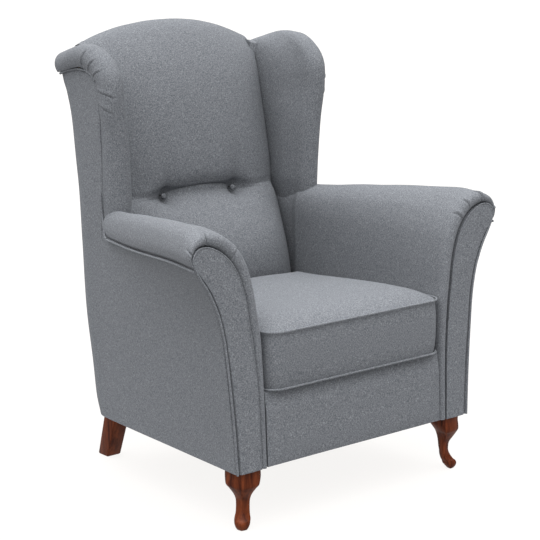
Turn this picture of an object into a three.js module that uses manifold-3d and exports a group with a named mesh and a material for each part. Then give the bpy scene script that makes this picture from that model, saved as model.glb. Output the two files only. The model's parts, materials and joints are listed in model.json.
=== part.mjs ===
// Wingback armchair: a wooden frame on two cabriole and two raked legs, sprung seat, stuffed arms,
// wings and buttoned back, and a loose box cushion. Millimetres, +Z up, the chair faces -Y.
// Left and right are the sitter's: the left arm is on the +X side.
import * as THREE from 'three';
import { mergeVertices } from 'three/addons/utils/BufferGeometryUtils.js';
import Module from 'manifold-3d';

const wasm = await Module();
wasm.setup();

// Heights above the floor
const legHeight = 133;
const railTopHeight = 288;
const seatSeamHeight = 427;
const armHeight = 658;
const rearArmDrop = 30;
const rearArmHeight = armHeight - rearArmDrop;
const backHeight = 1045;
const wingTopDrop = 39;
const wingTopHeight = backHeight - wingTopDrop;

// Half widths, from the middle plane
const seatHalf = 264;
const rearSeatHalf = 250;
const armHalf = 454;
const rearArmHalf = 330;
const wingSideHalf = 325;
const backHalf = 247;

// Places from front to back, before the whole chair is centred on the origin
const frontY = -311;
const wingSeamFrontY = 216;
const armRearY = 262;
const seatBackY = 145;
const rearBottomY = 293;
const backRun = 305;
const backLean = 130;
const faceLean = 24;

// Thicknesses and fits
const gap = 0.35;
const armPadThickness = 20;
const facingThickness = 14;
const panelThickness = 5;
const boardThickness = 24;
const postDepth = 32;
const postInset = 50;
const postDrop = 140;
const railClearance = 4;
const cornerBlockSize = 48;
const lumbarRailWidth = 46;
const armRailDrop = 68;
const armRailHalf = 16;
const armRailRearHalf = 11;
const rearCornerRadius = 80;
const strapThickness = 2.4;
const strapWidth = 50;
const strapClearance = 8;
const dustCoverThickness = 2;
const deckThickness = 5.5;
const pipingRadius = 2.5;

// Wing roll
const wingRollRadius = 30;
const wingBoardSetback = 12;
const wingBoardThickness = 16;

// Seat cushion
const cushionCrown = 20;
const cushionCornerRadius = 42;
const cushionDrawIn = 7;

// Buttons and their twine
const buttonSpacing = 212;
const buttonRadius = 9;
const buttonThickness = 8;
const twineRadius = 1.5;

// Legs and their bolts
const kneeHalfDiagonal = 39;
const frontLegSideInset = 29;
const frontLegY = -290;
const rearLegX = 245;
const rearLegFootY = 322;
const rearLegRake = 44;
const rearLegFoot = 39;
const rearLegTop = 45;
const boltRadius = 4;
const boltLength = 76;
const boltClearance = 0.3;

// Seat springs
const springCount = 4;
const springWireRadius = 1.8;
const springSwing = 19;
const springBends = 12;

// Levels of the seat, each resting on the one below
const springZ = railTopHeight + gap + springWireRadius;
const deckBottom = springZ + springWireRadius + gap;
const deckTop = deckBottom + deckThickness;
const cushionBottom = deckTop + gap;

const slots = {
  fabric: new THREE.MeshStandardMaterial({ color: 0x737b86, roughness: 0.9, metalness: 0 }),
  mahogany: new THREE.MeshStandardMaterial({ color: 0x5c3221, roughness: 0.25, metalness: 0 }),
  beech: new THREE.MeshStandardMaterial({ color: 0xc39a6b, roughness: 0.7, metalness: 0 }),
  steel: new THREE.MeshStandardMaterial({ color: 0x8d9094, roughness: 0.35, metalness: 1 }),
  lining: new THREE.MeshStandardMaterial({ color: 0x26272a, roughness: 0.95, metalness: 0 }),
};

const chair = new THREE.Group();
const lerp = THREE.MathUtils.lerp;
const at = (x, y, z) => new THREE.Vector3(x, y, z);

// Value of a two-column table at a given key, straight between its rows
function along(table, key) {
  let row = 1;
  while (row < table.length - 1 && key > table[row][0]) row += 1;
  const [k0, v0] = table[row - 1];
  const [k1, v1] = table[row];
  return lerp(v0, v1, (key - k0) / (k1 - k0));
}

// Triangles over the open end of a ring, turned one way or the other
function capTriangles(ring, first, turn) {
  const normal = at(0, 0, 0);
  ring.forEach((p, i) => normal.add(p.clone().cross(ring[(i + 1) % ring.length])));
  const size = [Math.abs(normal.x), Math.abs(normal.y), Math.abs(normal.z)];
  const drop = size.indexOf(Math.max(...size));
  const flat = ring.map((p) => new THREE.Vector2(...p.toArray().filter((_, axis) => axis !== drop)));
  const triangles = THREE.ShapeUtils.triangulateShape(flat, []);
  const covered = triangles.reduce((sum, corners) => (
    sum + THREE.ShapeUtils.area(corners.map((corner) => flat[corner]))), 0);
  const same = Math.sign(covered) === turn * Math.sign(THREE.ShapeUtils.area(flat));
  return triangles.map(([a, b, c]) => (
    same ? [first + a, first + b, first + c] : [first + a, first + c, first + b]));
}

// Closed solid through rings of equal length, capped at both ends
function loft(rings) {
  const count = rings[0].length;
  const points = rings.flat();
  const triangles = capTriangles(rings[0], 0, -1);
  for (let i = 0; i < rings.length - 1; i += 1) {
    for (let j = 0; j < count; j += 1) {
      const a = i * count + j;
      const b = i * count + ((j + 1) % count);
      triangles.push([a, b, b + count], [a, b + count, a + count]);
    }
  }
  triangles.push(...capTriangles(rings.at(-1), points.length - count, 1));
  const volume = triangles.reduce((sum, [a, b, c]) => (
    sum + points[a].dot(points[b].clone().cross(points[c]))), 0);
  const outward = volume < 0 ? triangles.map(([a, b, c]) => [a, c, b]) : triangles;
  const geometry = new THREE.BufferGeometry();
  geometry.setAttribute('position', new THREE.Float32BufferAttribute(points.flatMap((p) => p.toArray()), 3));
  geometry.setIndex(outward.flat());
  return geometry;
}

// Box between two corners
function block(low, high) {
  const geometry = new THREE.BoxGeometry(...high.clone().sub(low).toArray());
  return geometry.translate(...low.clone().add(high).multiplyScalar(0.5).toArray());
}

// Round bar between two points
function bar(from, to, radius, sides = 12) {
  const axis = to.clone().sub(from);
  const geometry = new THREE.CylinderGeometry(radius, radius, axis.length(), sides);
  geometry.applyQuaternion(new THREE.Quaternion().setFromUnitVectors(at(0, 1, 0), axis.clone().normalize()));
  return geometry.translate(...from.clone().add(to).multiplyScalar(0.5).toArray());
}

// Round cord along a smooth curve through the points
function cord(points, radius, steps, sides = 6) {
  const section = new THREE.Shape(Array.from({ length: sides }, (_, i) => {
    const angle = (2 * Math.PI * i) / sides;
    return new THREE.Vector2(radius * Math.cos(angle), radius * Math.sin(angle));
  }));
  const path = new THREE.CatmullRomCurve3(points);
  return new THREE.ExtrudeGeometry(section, { steps, extrudePath: path, bevelEnabled: false });
}

function toSolid(geometry) {
  const bare = geometry.clone();
  bare.deleteAttribute('normal');
  bare.deleteAttribute('uv');
  const merged = mergeVertices(bare);
  const vertProperties = Float32Array.from(merged.attributes.position.array);
  const triVerts = Uint32Array.from(merged.index.array);
  return new wasm.Manifold(new wasm.Mesh({ numProp: 3, vertProperties, triVerts }));
}

function toGeometry(body) {
  const mesh = body.getMesh();
  const geometry = new THREE.BufferGeometry();
  geometry.setAttribute('position', new THREE.Float32BufferAttribute(mesh.vertProperties, mesh.numProp));
  geometry.setIndex(Array.from(mesh.triVerts));
  return geometry;
}

const cut = (geometry, ...tools) => toGeometry(
  tools.reduce((body, tool) => body.subtract(toSolid(tool)), toSolid(geometry)));
const join = (...parts) => toGeometry(
  parts.slice(1).reduce((body, part) => body.add(toSolid(part)), toSolid(parts[0])));

// The same piece on the other side of the middle plane
function mirrored(geometry) {
  const copy = geometry.index ? geometry.clone() : mergeVertices(geometry);
  copy.deleteAttribute('normal');
  copy.deleteAttribute('uv');
  copy.scale(-1, 1, 1);
  const index = Array.from(copy.index.array);
  for (let i = 0; i < index.length; i += 3) [index[i], index[i + 1]] = [index[i + 1], index[i]];
  copy.setIndex(index);
  return copy;
}

function add(name, slot, geometry) {
  const mesh = new THREE.Mesh(geometry, slots[slot]);
  mesh.name = name;
  chair.add(mesh);
}

function addPair(name, slot, geometry) {
  add(`left_${name}`, slot, geometry);
  add(`right_${name}`, slot, mirrored(geometry));
}

// The front plane leans back a little from the floor up to the arm
const faceY = (z) => frontY + (faceLean * (z - legHeight)) / (armHeight - legHeight);

// Line of the rear face: height share against share of the lean
const rearShares = [
  [0, 0], [0.05, 0.13], [0.147, 0.24], [0.288, 0.4], [0.448, 0.477], [0.573, 0.53],
  [0.672, 0.63], [0.77, 0.72], [0.838, 0.854], [0.873, 0.96], [0.934, 1.09], [1, 1.2],
];
const rearY = (z) => rearBottomY
  + backLean * along(rearShares, (z - legHeight) / (backHeight - legHeight));
const postFrontY = (z) => rearY(z) - postInset;

// Arm section at the front and at the wing, from the foot of the inner face over the roll to the
// outer seam: shares of the arm's width and of its height
const armFrontShares = [
  [0, 0], [0.005, 0.318], [0.021, 0.522], [0.053, 0.606], [0.1, 0.726], [0.168, 0.829],
  [0.284, 0.909], [0.426, 0.958], [0.558, 0.985], [0.716, 1], [0.847, 0.994], [0.947, 0.97],
  [1, 0.924], [0.984, 0.89], [0.942, 0.863],
];
const armRearShares = [
  [0, 0], [0, 0.338], [0, 0.55], [0, 0.66], [0.005, 0.79], [0.035, 0.885],
  [0.12, 0.944], [0.26, 0.974], [0.41, 0.99], [0.555, 1], [0.72, 0.996], [0.89, 0.98],
  [0.985, 0.953], [1, 0.931], [0.97, 0.915],
];
// Outer side below that seam, down to the body's bottom edge
const sideFrontShares = [
  [0.942, 0.863], [0.863, 0.817], [0.779, 0.771], [0.705, 0.718], [0.637, 0.653],
  [0.574, 0.547], [0.532, 0.404], [0.489, 0.213], [0.458, 0],
];
const sideRearShares = [1, 0.951, 0.897, 0.836, 0.76, 0.636, 0.47, 0.248, 0]
  .map((share) => [(wingSideHalf - rearSeatHalf) / (rearArmHalf - rearSeatHalf), 0.915 * share]);

// Where the padding ends at the front of the arm: the inner and upper edge of the facing
const padFrontShares = [
  [0.105, 0], [0.126, 0.318], [0.179, 0.522], [0.211, 0.596], [0.258, 0.709], [0.332, 0.8],
  [0.421, 0.861], [0.516, 0.899], [0.611, 0.924], [0.726, 0.943], [0.821, 0.947], [0.905, 0.937],
  [0.958, 0.912], [0.958, 0.89], [0.932, 0.867],
];

// Section point between the front and the rear tables, as (x, z)
function sectionPoint(frontShare, rearShare, s) {
  const front = [lerp(seatHalf, armHalf, frontShare[0]), lerp(legHeight, armHeight, frontShare[1])];
  const rear = [lerp(rearSeatHalf, rearArmHalf, rearShare[0]), lerp(legHeight, rearArmHeight, rearShare[1])];
  return new THREE.Vector2(lerp(front[0], rear[0], s), lerp(front[1], rear[1], s));
}
const armPath = (s) => armFrontShares.map((share, i) => sectionPoint(share, armRearShares[i], s));
const sidePath = (s) => sideFrontShares.map((share, i) => sectionPoint(share, sideRearShares[i], s));

// Open path moved sideways, towards the left of its direction for a positive distance
function offsetPath(path, distance) {
  return path.map((p, i) => {
    const before = path[Math.max(i - 1, 0)];
    const after = path[Math.min(i + 1, path.length - 1)];
    const side = after.clone().sub(before).normalize();
    return new THREE.Vector2(p.x - side.y * distance, p.y + side.x * distance);
  });
}

// Inside of the padding, from the facing's edge at the front to an even thickness at the wing
const armBack = offsetPath(armPath(1), -armPadThickness);
const padPath = (s) => padFrontShares.map((share, i) => (
  sectionPoint(share, [0, 0], 0).lerp(armBack[i], s)));

// Share of the arm's taper at a depth: 0 at the front plane and 1 where the wing starts
const armShare = (y, z) => Math.min((y - faceY(z)) / (wingSeamFrontY - faceY(z)), 1);
const armDepthY = (s, z) => lerp(faceY(z), wingSeamFrontY, s);
const armLength = wingSeamFrontY - frontY;

function armPadRing(s, insetShare, bottom, y) {
  const inner = padPath(s);
  const outer = armPath(s).map((p, i) => p.lerp(inner[i], insetShare));
  return [...outer, ...inner.reverse()].map((p) => {
    const z = Math.max(p.y, bottom);
    return at(p.x, y ?? armDepthY(s, z), z);
  });
}

// Stuffed inner arm and arm roll: one band from the seat up and over to the outer seam. A strip at its
// front runs down to the body's bottom edge, beside the facing
function armPad() {
  const roundShares = [[0, 0.45], [0.25, 0.15], [0.6, 0], [1, 0]];
  const rings = roundShares.map(([depthShare, insetShare]) => (
    armPadRing((depthShare * facingThickness) / armLength, insetShare, legHeight)));
  const behind = (facingThickness + gap) / armLength;
  [behind, 0.2, 0.4, 0.6, 0.8, 1].forEach((s) => rings.push(armPadRing(s, 0, cushionBottom)));
  rings.push(armPadRing(1, 0, cushionBottom, armRearY));
  const sideCover = block(at(wingSideHalf - panelThickness - gap, wingSeamFrontY - gap, legHeight),
    at(armHalf, armRearY + armPadThickness, armHeight));
  return cut(loft(rings), sideCover, ...armCords(gap));
}

// The whole arm as one filled body, grown by a clearance: what stands on or against it is cut by it
function armBulk(grow) {
  const ring = (s, y) => {
    const path = offsetPath(armPath(s), grow);
    const closed = [...path, new THREE.Vector2(path.at(-1).x, legHeight)];
    return closed.map((p) => at(p.x, y ?? armDepthY(s, p.y), p.y));
  };
  return loft([...[0, 0.2, 0.4, 0.6, 0.8, 1].map((s) => ring(s)), ring(1, armRearY + grow)]);
}

// Outline shared by the arm's front board and its padded facing, at a depth behind the front plane
function facingRing(inset, depth) {
  const s = depth / armLength;
  const inner = offsetPath(padPath(s), -(gap + inset));
  const outer = offsetPath(sidePath(s), -(panelThickness + gap + inset));
  return [...inner, ...outer].map((p) => {
    const z = Math.max(p.y, legHeight);
    return at(p.x, armDepthY(s, z), z);
  });
}

function armFacing() {
  const soft = facingThickness / 3;
  return cut(loft([facingRing(soft, 0), facingRing(0, soft), facingRing(0, facingThickness)]),
    ...armCords(gap));
}

function armFrontBoard() {
  const start = facingThickness + gap;
  return loft([facingRing(2 * gap, start), facingRing(2 * gap, start + boardThickness - gap)]);
}

// Cords of piping sewn into the arm: one round the facing, one along the outer seam of the roll
function facingCord(grow) {
  const inner = offsetPath(padPath(0), -gap / 2);
  const outer = offsetPath(sidePath(0), -pipingRadius).slice(1);
  const points = [...inner, ...outer].map((p) => at(p.x, faceY(p.y) + pipingRadius / 3, p.y));
  return cord(points, pipingRadius + grow, 38, 5);
}

function armSeamCord(grow) {
  const depthShares = [0.01, 0.15, 0.3, 0.45, 0.6, 0.75, 0.88, 0.95];
  const points = depthShares.map((s) => {
    const seam = armPath(s).at(-1);
    return at(seam.x + pipingRadius / 3, armDepthY(s, seam.y), seam.y - pipingRadius / 3);
  });
  points.push(at(wingSideHalf + pipingRadius, wingSeamFrontY - pipingRadius, rearArmHeight));
  return cord(points, pipingRadius + grow, 18, 5);
}

const armCords = (grow) => [facingCord(grow), armSeamCord(grow)];

// Outer side cover: plan line at one height, from the front round the rear corner
function sidePlan(xAtShare, z, startY, inset) {
  const cornerY = rearY(z) - rearCornerRadius;
  const line = [0, 0.2, 0.4, 0.6, 0.8, 1].map((share) => {
    const y = lerp(startY, cornerY, share);
    return at(xAtShare(y) - inset, y, z);
  });
  const centreX = xAtShare(cornerY) - rearCornerRadius;
  const arc = [0.25, 0.5, 0.75, 1].map((share) => {
    const angle = share * (Math.PI / 2);
    const radius = rearCornerRadius - inset;
    return at(centreX + radius * Math.cos(angle), cornerY + radius * Math.sin(angle), z);
  });
  return [...line, ...arc];
}

function sideLowerRow(row) {
  const drop = row === 0 ? 2 * gap : 0;
  const height = (s) => sidePath(s)[row].y - drop;
  const ring = (inset) => {
    const plan = sidePlan((y) => sidePath(armShare(y, height(0)))[row].x, height(0),
      faceY(height(0)) + panelThickness, inset);
    return plan.map((p) => at(p.x, p.y, height(armShare(p.y, height(0)))));
  };
  return [...ring(0), ...ring(panelThickness).reverse()];
}

// Top edge of the side cover under the wing's roll: share of the depth, and how far it lies below the
// roll's highest centre, in roll radii
const seamTopShares = [
  [0, -1.63], [0.11, -1.07], [0.22, -0.85], [0.4, -0.82], [0.63, -1.07],
  [0.78, -1.55], [0.87, -1.62], [1, -1.8],
];
const wingSeamDepth = rearBottomY + backLean - wingSeamFrontY;
const seamTopZ = (y) => wingTopHeight - wingRollRadius - gap
  + wingRollRadius * along(seamTopShares, (y - wingSeamFrontY) / wingSeamDepth);

function sideUpperRow(share) {
  const footZ = rearArmHeight - 3.5 * armPadThickness;
  const nominal = lerp(footZ, wingTopHeight - 2 * wingRollRadius, share);
  const ring = (inset) => sidePlan(() => wingSideHalf, nominal, wingSeamFrontY, inset).map((p) => (
    at(p.x, p.y, lerp(footZ, seamTopZ(p.y), share))));
  return [...ring(0), ...ring(panelThickness).reverse()];
}

function wingCord(grow) {
  const points = [0.02, 0.1, 0.2, 0.35, 0.5, 0.65, 0.8].map((share) => {
    const y = lerp(wingSeamFrontY, rearBottomY + backLean, share);
    return at(wingSideHalf + pipingRadius / 2, y, seamTopZ(y) + gap / 2);
  });
  return cord(points, pipingRadius + grow, 9, 5);
}

function sidePanel() {
  const rows = sideFrontShares.map((_, row) => sideLowerRow(row));
  const upperShares = [0, 0.2, 0.4, 0.6, 0.75, 0.88, 1];
  return cut(join(loft(rows), loft(upperShares.map(sideUpperRow))),
    ...armCords(gap), wingCord(gap), wingRollBulk(gap));
}

// Wing: centre line of its front and top roll, as shares of its depth, height and width
const wingFrontY = 192;
const wingRearY = 400;
const wingFootDrop = 68;
const wingFootZ = rearArmHeight - wingFootDrop;
const wingFootHalf = 283;
const wingCrestHalf = 325;
const wingPathShares = [
  [0.053, 0, 0], [0.048, 0.193, 0.048], [0.043, 0.338, 0.095], [0.034, 0.58, 0.262],
  [0.02, 0.749, 0.476], [0.029, 0.862, 0.548], [0.082, 0.92, 0.595], [0.183, 0.966, 0.619],
  [0.317, 0.998, 0.667], [0.462, 0.998, 0.69], [0.66, 0.974, 0.64], [0.9, 0.942, 0.52],
];
// Where the wing meets the back: height share, and how far the padding's base lies below it, in radii
const wingRootShares = [
  [0, 0], [0.19, 0], [0.338, 0], [0.556, 0], [0.68, 0], [0.755, 0],
  [0.8, 0], [0.835, 0], [0.872, 0], [0.925, 0], [0.985, 0.6], [1.01, 0.7],
];
// Angle at which the inner face runs into the roll, by section
const wingArcShares = [[0, 165], [5, 165], [8, 150], [9, 138], [10, 105], [11, 90]];
const wingArcPoints = 7;
// The board inside the wing ends before the rounded rear corner
const wingBoardCount = 10;
// How far the roll's cover wraps back behind its centre, by section: a share of the roll's radius
const wingHookShares = [[0, 0.4], [4, 0.45], [7, 0.8], [11, 0.8]];

const wingPoint = ([y, z]) => new THREE.Vector2(lerp(wingFrontY, wingRearY, y),
  lerp(wingFootZ, wingTopHeight - wingRollRadius, z));

// Frame of one wing section: a point at a distance out from the roll's centre, and the root point
function wingSection(i) {
  const centre = wingPoint(wingPathShares[i]);
  const before = wingPoint(wingPathShares[Math.max(i - 1, 0)]);
  const after = wingPoint(wingPathShares[Math.min(i + 1, wingPathShares.length - 1)]);
  const run = after.sub(before).normalize();
  const half = lerp(wingFootHalf, wingCrestHalf, wingPathShares[i][2]);
  const [rootShare, baseShare] = wingRootShares[i];
  const rootZ = lerp(wingFootZ, wingTopHeight - wingRollRadius, rootShare);
  const rootY = postFrontY(rootZ) - strapThickness - 3 * gap;
  const boardOut = Math.min(half + wingBoardThickness / 2, wingSideHalf - panelThickness - gap);
  return {
    half,
    boardOut,
    boardIn: boardOut - wingBoardThickness,
    seamX: Math.max((half + wingRollRadius + wingSideHalf) / 2, wingSideHalf),
    hook: -wingRollRadius * along(wingHookShares, i),
    out: (x, distance) => at(x, centre.x - run.y * distance, centre.y + run.x * distance),
    root: (x) => at(x, rootY, rootZ),
    base: (x) => at(x, rootY, rootZ - baseShare * wingRollRadius),
  };
}

// Round of the roll in one section, from a start angle down to its outer side
function wingArc(section, startAngle, count, grow) {
  const radius = wingRollRadius + grow;
  return Array.from({ length: count }, (_, k) => {
    const turn = THREE.MathUtils.degToRad(startAngle * (1 - k / (count - 1)));
    return section.out(section.half + radius * Math.cos(turn), radius * Math.sin(turn));
  });
}

function wingPad() {
  const innerX = backHalf + 3 * gap;
  const rings = wingPathShares.map((_, i) => {
    const section = wingSection(i);
    const { boardIn, boardOut, hook, seamX, out, root, base } = section;
    const slotTop = i < wingBoardCount ? wingBoardSetback : wingBoardSetback / 3;
    return [root(innerX), ...wingArc(section, along(wingArcShares, i), wingArcPoints, 0),
      out(seamX, hook), out(boardOut, hook), out(boardOut, slotTop), out(boardIn, slotTop), base(boardIn)];
  });
  return cut(loft(rings), armBulk(gap), armSeamCord(gap), wingCord(gap), wingBlade(gap));
}

// The outer half of the roll, grown by a clearance, which the side cover's top edge is cut by
function wingRollBulk(grow) {
  return loft(wingPathShares.map((_, i) => {
    const section = wingSection(i);
    const innerX = section.boardOut - panelThickness;
    return [section.out(innerX, wingBoardSetback), ...wingArc(section, 90, 4, grow),
      section.out(section.seamX + grow, section.hook - grow), section.out(innerX, section.hook - grow)];
  }));
}

// Everything outside the side cover's inner face, which the board inside is trimmed to
function cornerWaste() {
  const heights = rearShares.map(([share]) => lerp(legHeight, backHeight, share));
  return loft(heights.map((z) => [
    ...sidePlan(() => wingSideHalf, z, wingSeamFrontY, panelThickness + gap),
    at(armHalf, rearY(z) - panelThickness, z), at(armHalf, wingSeamFrontY, z)]));
}

// The board's part inside the wing, smaller by a slack than the slot that it stands in
function wingBlade(slack) {
  const edge = wingBoardSetback - slack;
  return loft(wingPathShares.slice(0, wingBoardCount).map((_, i) => {
    const { boardIn, boardOut, out, root } = wingSection(i);
    return [out(boardOut - slack, edge), out(boardIn + slack, edge), root(boardIn + slack),
      root(boardOut - slack)];
  }));
}

// Plywood board of the wing, with a tail that runs down behind the arm to the seat
function wingBoard() {
  const slack = 3 * gap;
  const footIn = wingFootHalf - wingBoardThickness / 2 + slack;
  const footOut = wingFootHalf + wingBoardThickness / 2 - slack;
  const footY = armRearY + slack;
  const tail = [railTopHeight, (railTopHeight + wingFootZ) / 2, wingFootZ + armPadThickness / 2].map((z) => {
    const rearEdge = postFrontY(z) - strapThickness - 3 * gap;
    return [at(footOut, footY, z), at(footIn, footY, z), at(footIn, rearEdge, z), at(footOut, rearEdge, z)];
  });
  return cut(join(wingBlade(slack), loft(tail)), armBulk(gap), cornerWaste());
}

// Back: profile at the middle and at the sides, from the seat up over the top and down behind
const backMiddleShares = [
  [0.066, 0], [0.033, 0.083], [0.007, 0.163], [0, 0.21], [0.023, 0.27], [0.089, 0.331],
  [0.197, 0.384], [0.321, 0.422], [0.384, 0.447], [0.357, 0.478], [0.351, 0.525], [0.367, 0.592],
  [0.4, 0.672], [0.443, 0.752], [0.502, 0.826], [0.574, 0.889], [0.666, 0.946], [0.754, 0.983],
  [0.852, 1], [0.934, 0.991], [0.987, 0.964], [1, 0.92],
];
const backSideShares = [
  [0.164, 0], [0.19, 0.07], [0.223, 0.13], [0.252, 0.177], [0.292, 0.237], [0.334, 0.297],
  [0.377, 0.357], [0.423, 0.407], [0.475, 0.442], [0.482, 0.478], [0.498, 0.525], [0.531, 0.592],
  [0.574, 0.672], [0.616, 0.746], [0.648, 0.815], [0.688, 0.866], [0.739, 0.899], [0.797, 0.922],
  [0.852, 0.932], [0.915, 0.926], [0.954, 0.903], [0.974, 0.868],
];
// How far a profile lies towards the middle one: fuller on the front face than over the arched top
const crownShare = (u) => (1 - Math.abs(u) ** 3) ** 0.7;
const archShare = (u) => 1 - Math.abs(u) ** 2.1;
const archRowShares = [[13, 0], [17, 1], [21, 1]];
const profileShare = (u, row) => lerp(crownShare(u), archShare(u), row < 13 ? 0 : along(archRowShares, row));
const backPoint = ([y, z]) => new THREE.Vector2(seatBackY + backRun * y,
  lerp(cushionBottom, backHeight, z));
const backProfile = (u) => backSideShares.map((side, i) => (
  backPoint(side).lerp(backPoint(backMiddleShares[i]), profileShare(u, i))));
const creaseHeight = lerp(cushionBottom, backHeight, 0.4455);

// Heights along the rear line between two levels, with every bend of that line between them
const rearBends = rearShares.map(([share]) => lerp(legHeight, backHeight, share));
const rearHeights = (low, high) => [low, ...rearBends.filter((z) => z > low + 1 && z < high - 1), high];

// Arched board along the top of the back, between the posts
const topBoardInset = 33;
const topBoardArch = 54;
const topBoardWidth = 144;
const topBoardFoot = backHeight - topBoardInset - topBoardWidth;
const topBoardTop = (u) => backHeight - topBoardInset - topBoardArch * Math.abs(u) ** 2.2;

function backRing(u) {
  const front = backProfile(u);
  const lip = front.at(-1);
  const boardRear = (z) => postFrontY(z) + boardThickness + gap;
  const top = topBoardTop(u) + gap;
  const restY = (z) => postFrontY(z) - strapThickness - 2 * gap;
  const bends = rearHeights(cushionBottom, topBoardTop(1)).slice(1, -1);
  const inner = [cushionBottom, ...bends, top].reverse().map((z) => new THREE.Vector2(restY(z), z));
  const wrap = [new THREE.Vector2(boardRear(lip.y), lip.y), new THREE.Vector2(boardRear(top), top)];
  return [...front, ...wrap, ...inner].map((p) => at(u * backHalf, p.x, p.y));
}

const buttonPlaces = [-buttonSpacing / 2, buttonSpacing / 2].map((x) => {
  const crease = backProfile(x / backHalf)[8];
  return at(x, crease.x, crease.y);
});

function button(place, grow) {
  const geometry = new THREE.SphereGeometry(buttonRadius + grow, 12, 8);
  geometry.scale(1, (buttonThickness / 2 + grow) / (buttonRadius + grow), 1);
  return geometry.translate(...place.toArray());
}

function twine(place, grow) {
  const start = place.clone().add(at(0, buttonThickness / 2 + gap - grow, 0));
  const end = at(place.x, postFrontY(place.z) - gap + grow, place.z);
  return bar(start, end, twineRadius + grow, 8);
}

// Where the back's sections stand across its width, closer together towards the sides
const halfWidthShares = [0.22, 0.43, 0.6, 0.75, 0.88, 0.96, 1];
const backWidthShares = [...halfWidthShares.map((share) => -share).reverse(), 0, ...halfWidthShares];

function backCushion() {
  const body = loft(backWidthShares.map(backRing));
  const tools = buttonPlaces.flatMap((place) => [button(place, gap), twine(place, gap)]);
  return cut(body, ...tools);
}

function topBoard() {
  const bends = rearHeights(topBoardFoot, topBoardTop(1)).slice(0, -1);
  const rings = [-1, -0.8, -0.6, -0.4, -0.2, 0, 0.2, 0.4, 0.6, 0.8, 1].map((u) => {
    const heights = [...bends, topBoardTop(u)];
    const face = (z, depth) => at(u * backHalf, postFrontY(z) + depth, z);
    return [...heights.map((z) => face(z, 0)), ...heights.reverse().map((z) => face(z, boardThickness))];
  });
  return loft(rings);
}

// Outside back: one flat cover between the side covers, its top edge following the arch
function outsideBack() {
  const half = wingSideHalf - rearCornerRadius - 2 * gap;
  const heightShares = [0, 0.05, 0.15, 0.29, 0.45, 0.6, 0.72, 0.82, 0.9, 0.95, 1];
  const rows = heightShares.map((share) => {
    const line = (inset) => backWidthShares.map((u) => {
      const lip = backProfile((u * half) / backHalf).at(-1);
      const z = lerp(legHeight, lip.y - 5 * gap, share);
      return at(u * half, rearY(z) - inset, z);
    });
    return [...line(0), ...line(panelThickness).reverse()];
  });
  return loft(rows);
}

// Posts, rails and blocks of the frame
function backPost() {
  const inX = backHalf + railClearance;
  return loft(rearHeights(legHeight, backHeight - postDrop).map((z) => {
    const y = postFrontY(z);
    return [at(inX, y, z), at(inX + boardThickness, y, z),
      at(inX + boardThickness, y + postDepth, z), at(inX, y + postDepth, z)];
  }));
}

function lumbarRail() {
  const half = sideRailHalf - gap;
  const low = creaseHeight - lumbarRailWidth / 2;
  const rows = rearHeights(low, low + lumbarRailWidth).map((z) => [
    at(-half, postFrontY(z), z), at(half, postFrontY(z), z),
    at(half, postFrontY(z) + boardThickness, z), at(-half, postFrontY(z) + boardThickness, z)]);
  return loft(rows);
}

// Middle heights of the straps: two below the buttons' crease and two above it
const strapHeights = [lerp(cushionBottom, creaseHeight, 0.515),
  creaseHeight - strapWidth / 2 - strapClearance,
  lerp(creaseHeight, backHeight, 0.167), lerp(creaseHeight, backHeight, 0.385)];

function strap(middleZ) {
  const half = backHalf + boardThickness;
  const rows = rearHeights(middleZ - strapWidth / 2, middleZ + strapWidth / 2).map((z) => {
    const y = postFrontY(z) - gap;
    const front = y - strapThickness;
    return [at(-half, y, z), at(half, y, z), at(half, front, z), at(-half, front, z)];
  });
  return loft(rows);
}

const railFrontY = faceY(railTopHeight) + facingThickness + gap;
const rearRailY = rearBottomY - panelThickness - 5 * gap - boardThickness;
const sideRailHalf = backHalf + railClearance;

function armRail() {
  const frontZ = armHeight - armRailDrop;
  const rearZ = rearArmHeight - armRailDrop;
  const startY = faceY(frontZ) + facingThickness + boardThickness + 2 * gap;
  const ring = (x, z, y, half) => [at(x - half, y, z - half / 2), at(x + half, y, z - half / 2),
    at(x + half, y, z + half / 2), at(x - half, y, z + half / 2)];
  const frontX = lerp(seatHalf, armHalf, 0.62);
  const rearX = wingFootHalf + boardThickness / 2;
  return loft([ring(frontX, frontZ, startY, armRailHalf), ring(rearX, rearZ, armRearY, armRailRearHalf)]);
}

// Zigzag spring of round wire, lying on the front and rear rails
function seatSpring(x) {
  const startY = railFrontY + boardThickness / 2;
  const endY = rearRailY + boardThickness / 2;
  const points = Array.from({ length: springBends + 1 }, (_, i) => {
    const side = i % 2 === 0 ? -springSwing : springSwing;
    const swing = i === 0 || i === springBends ? 0 : side;
    return at(x + swing, lerp(startY, endY, i / springBends), springZ);
  });
  return cord(points, springWireRadius, 4 * springBends, 5);
}

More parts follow.
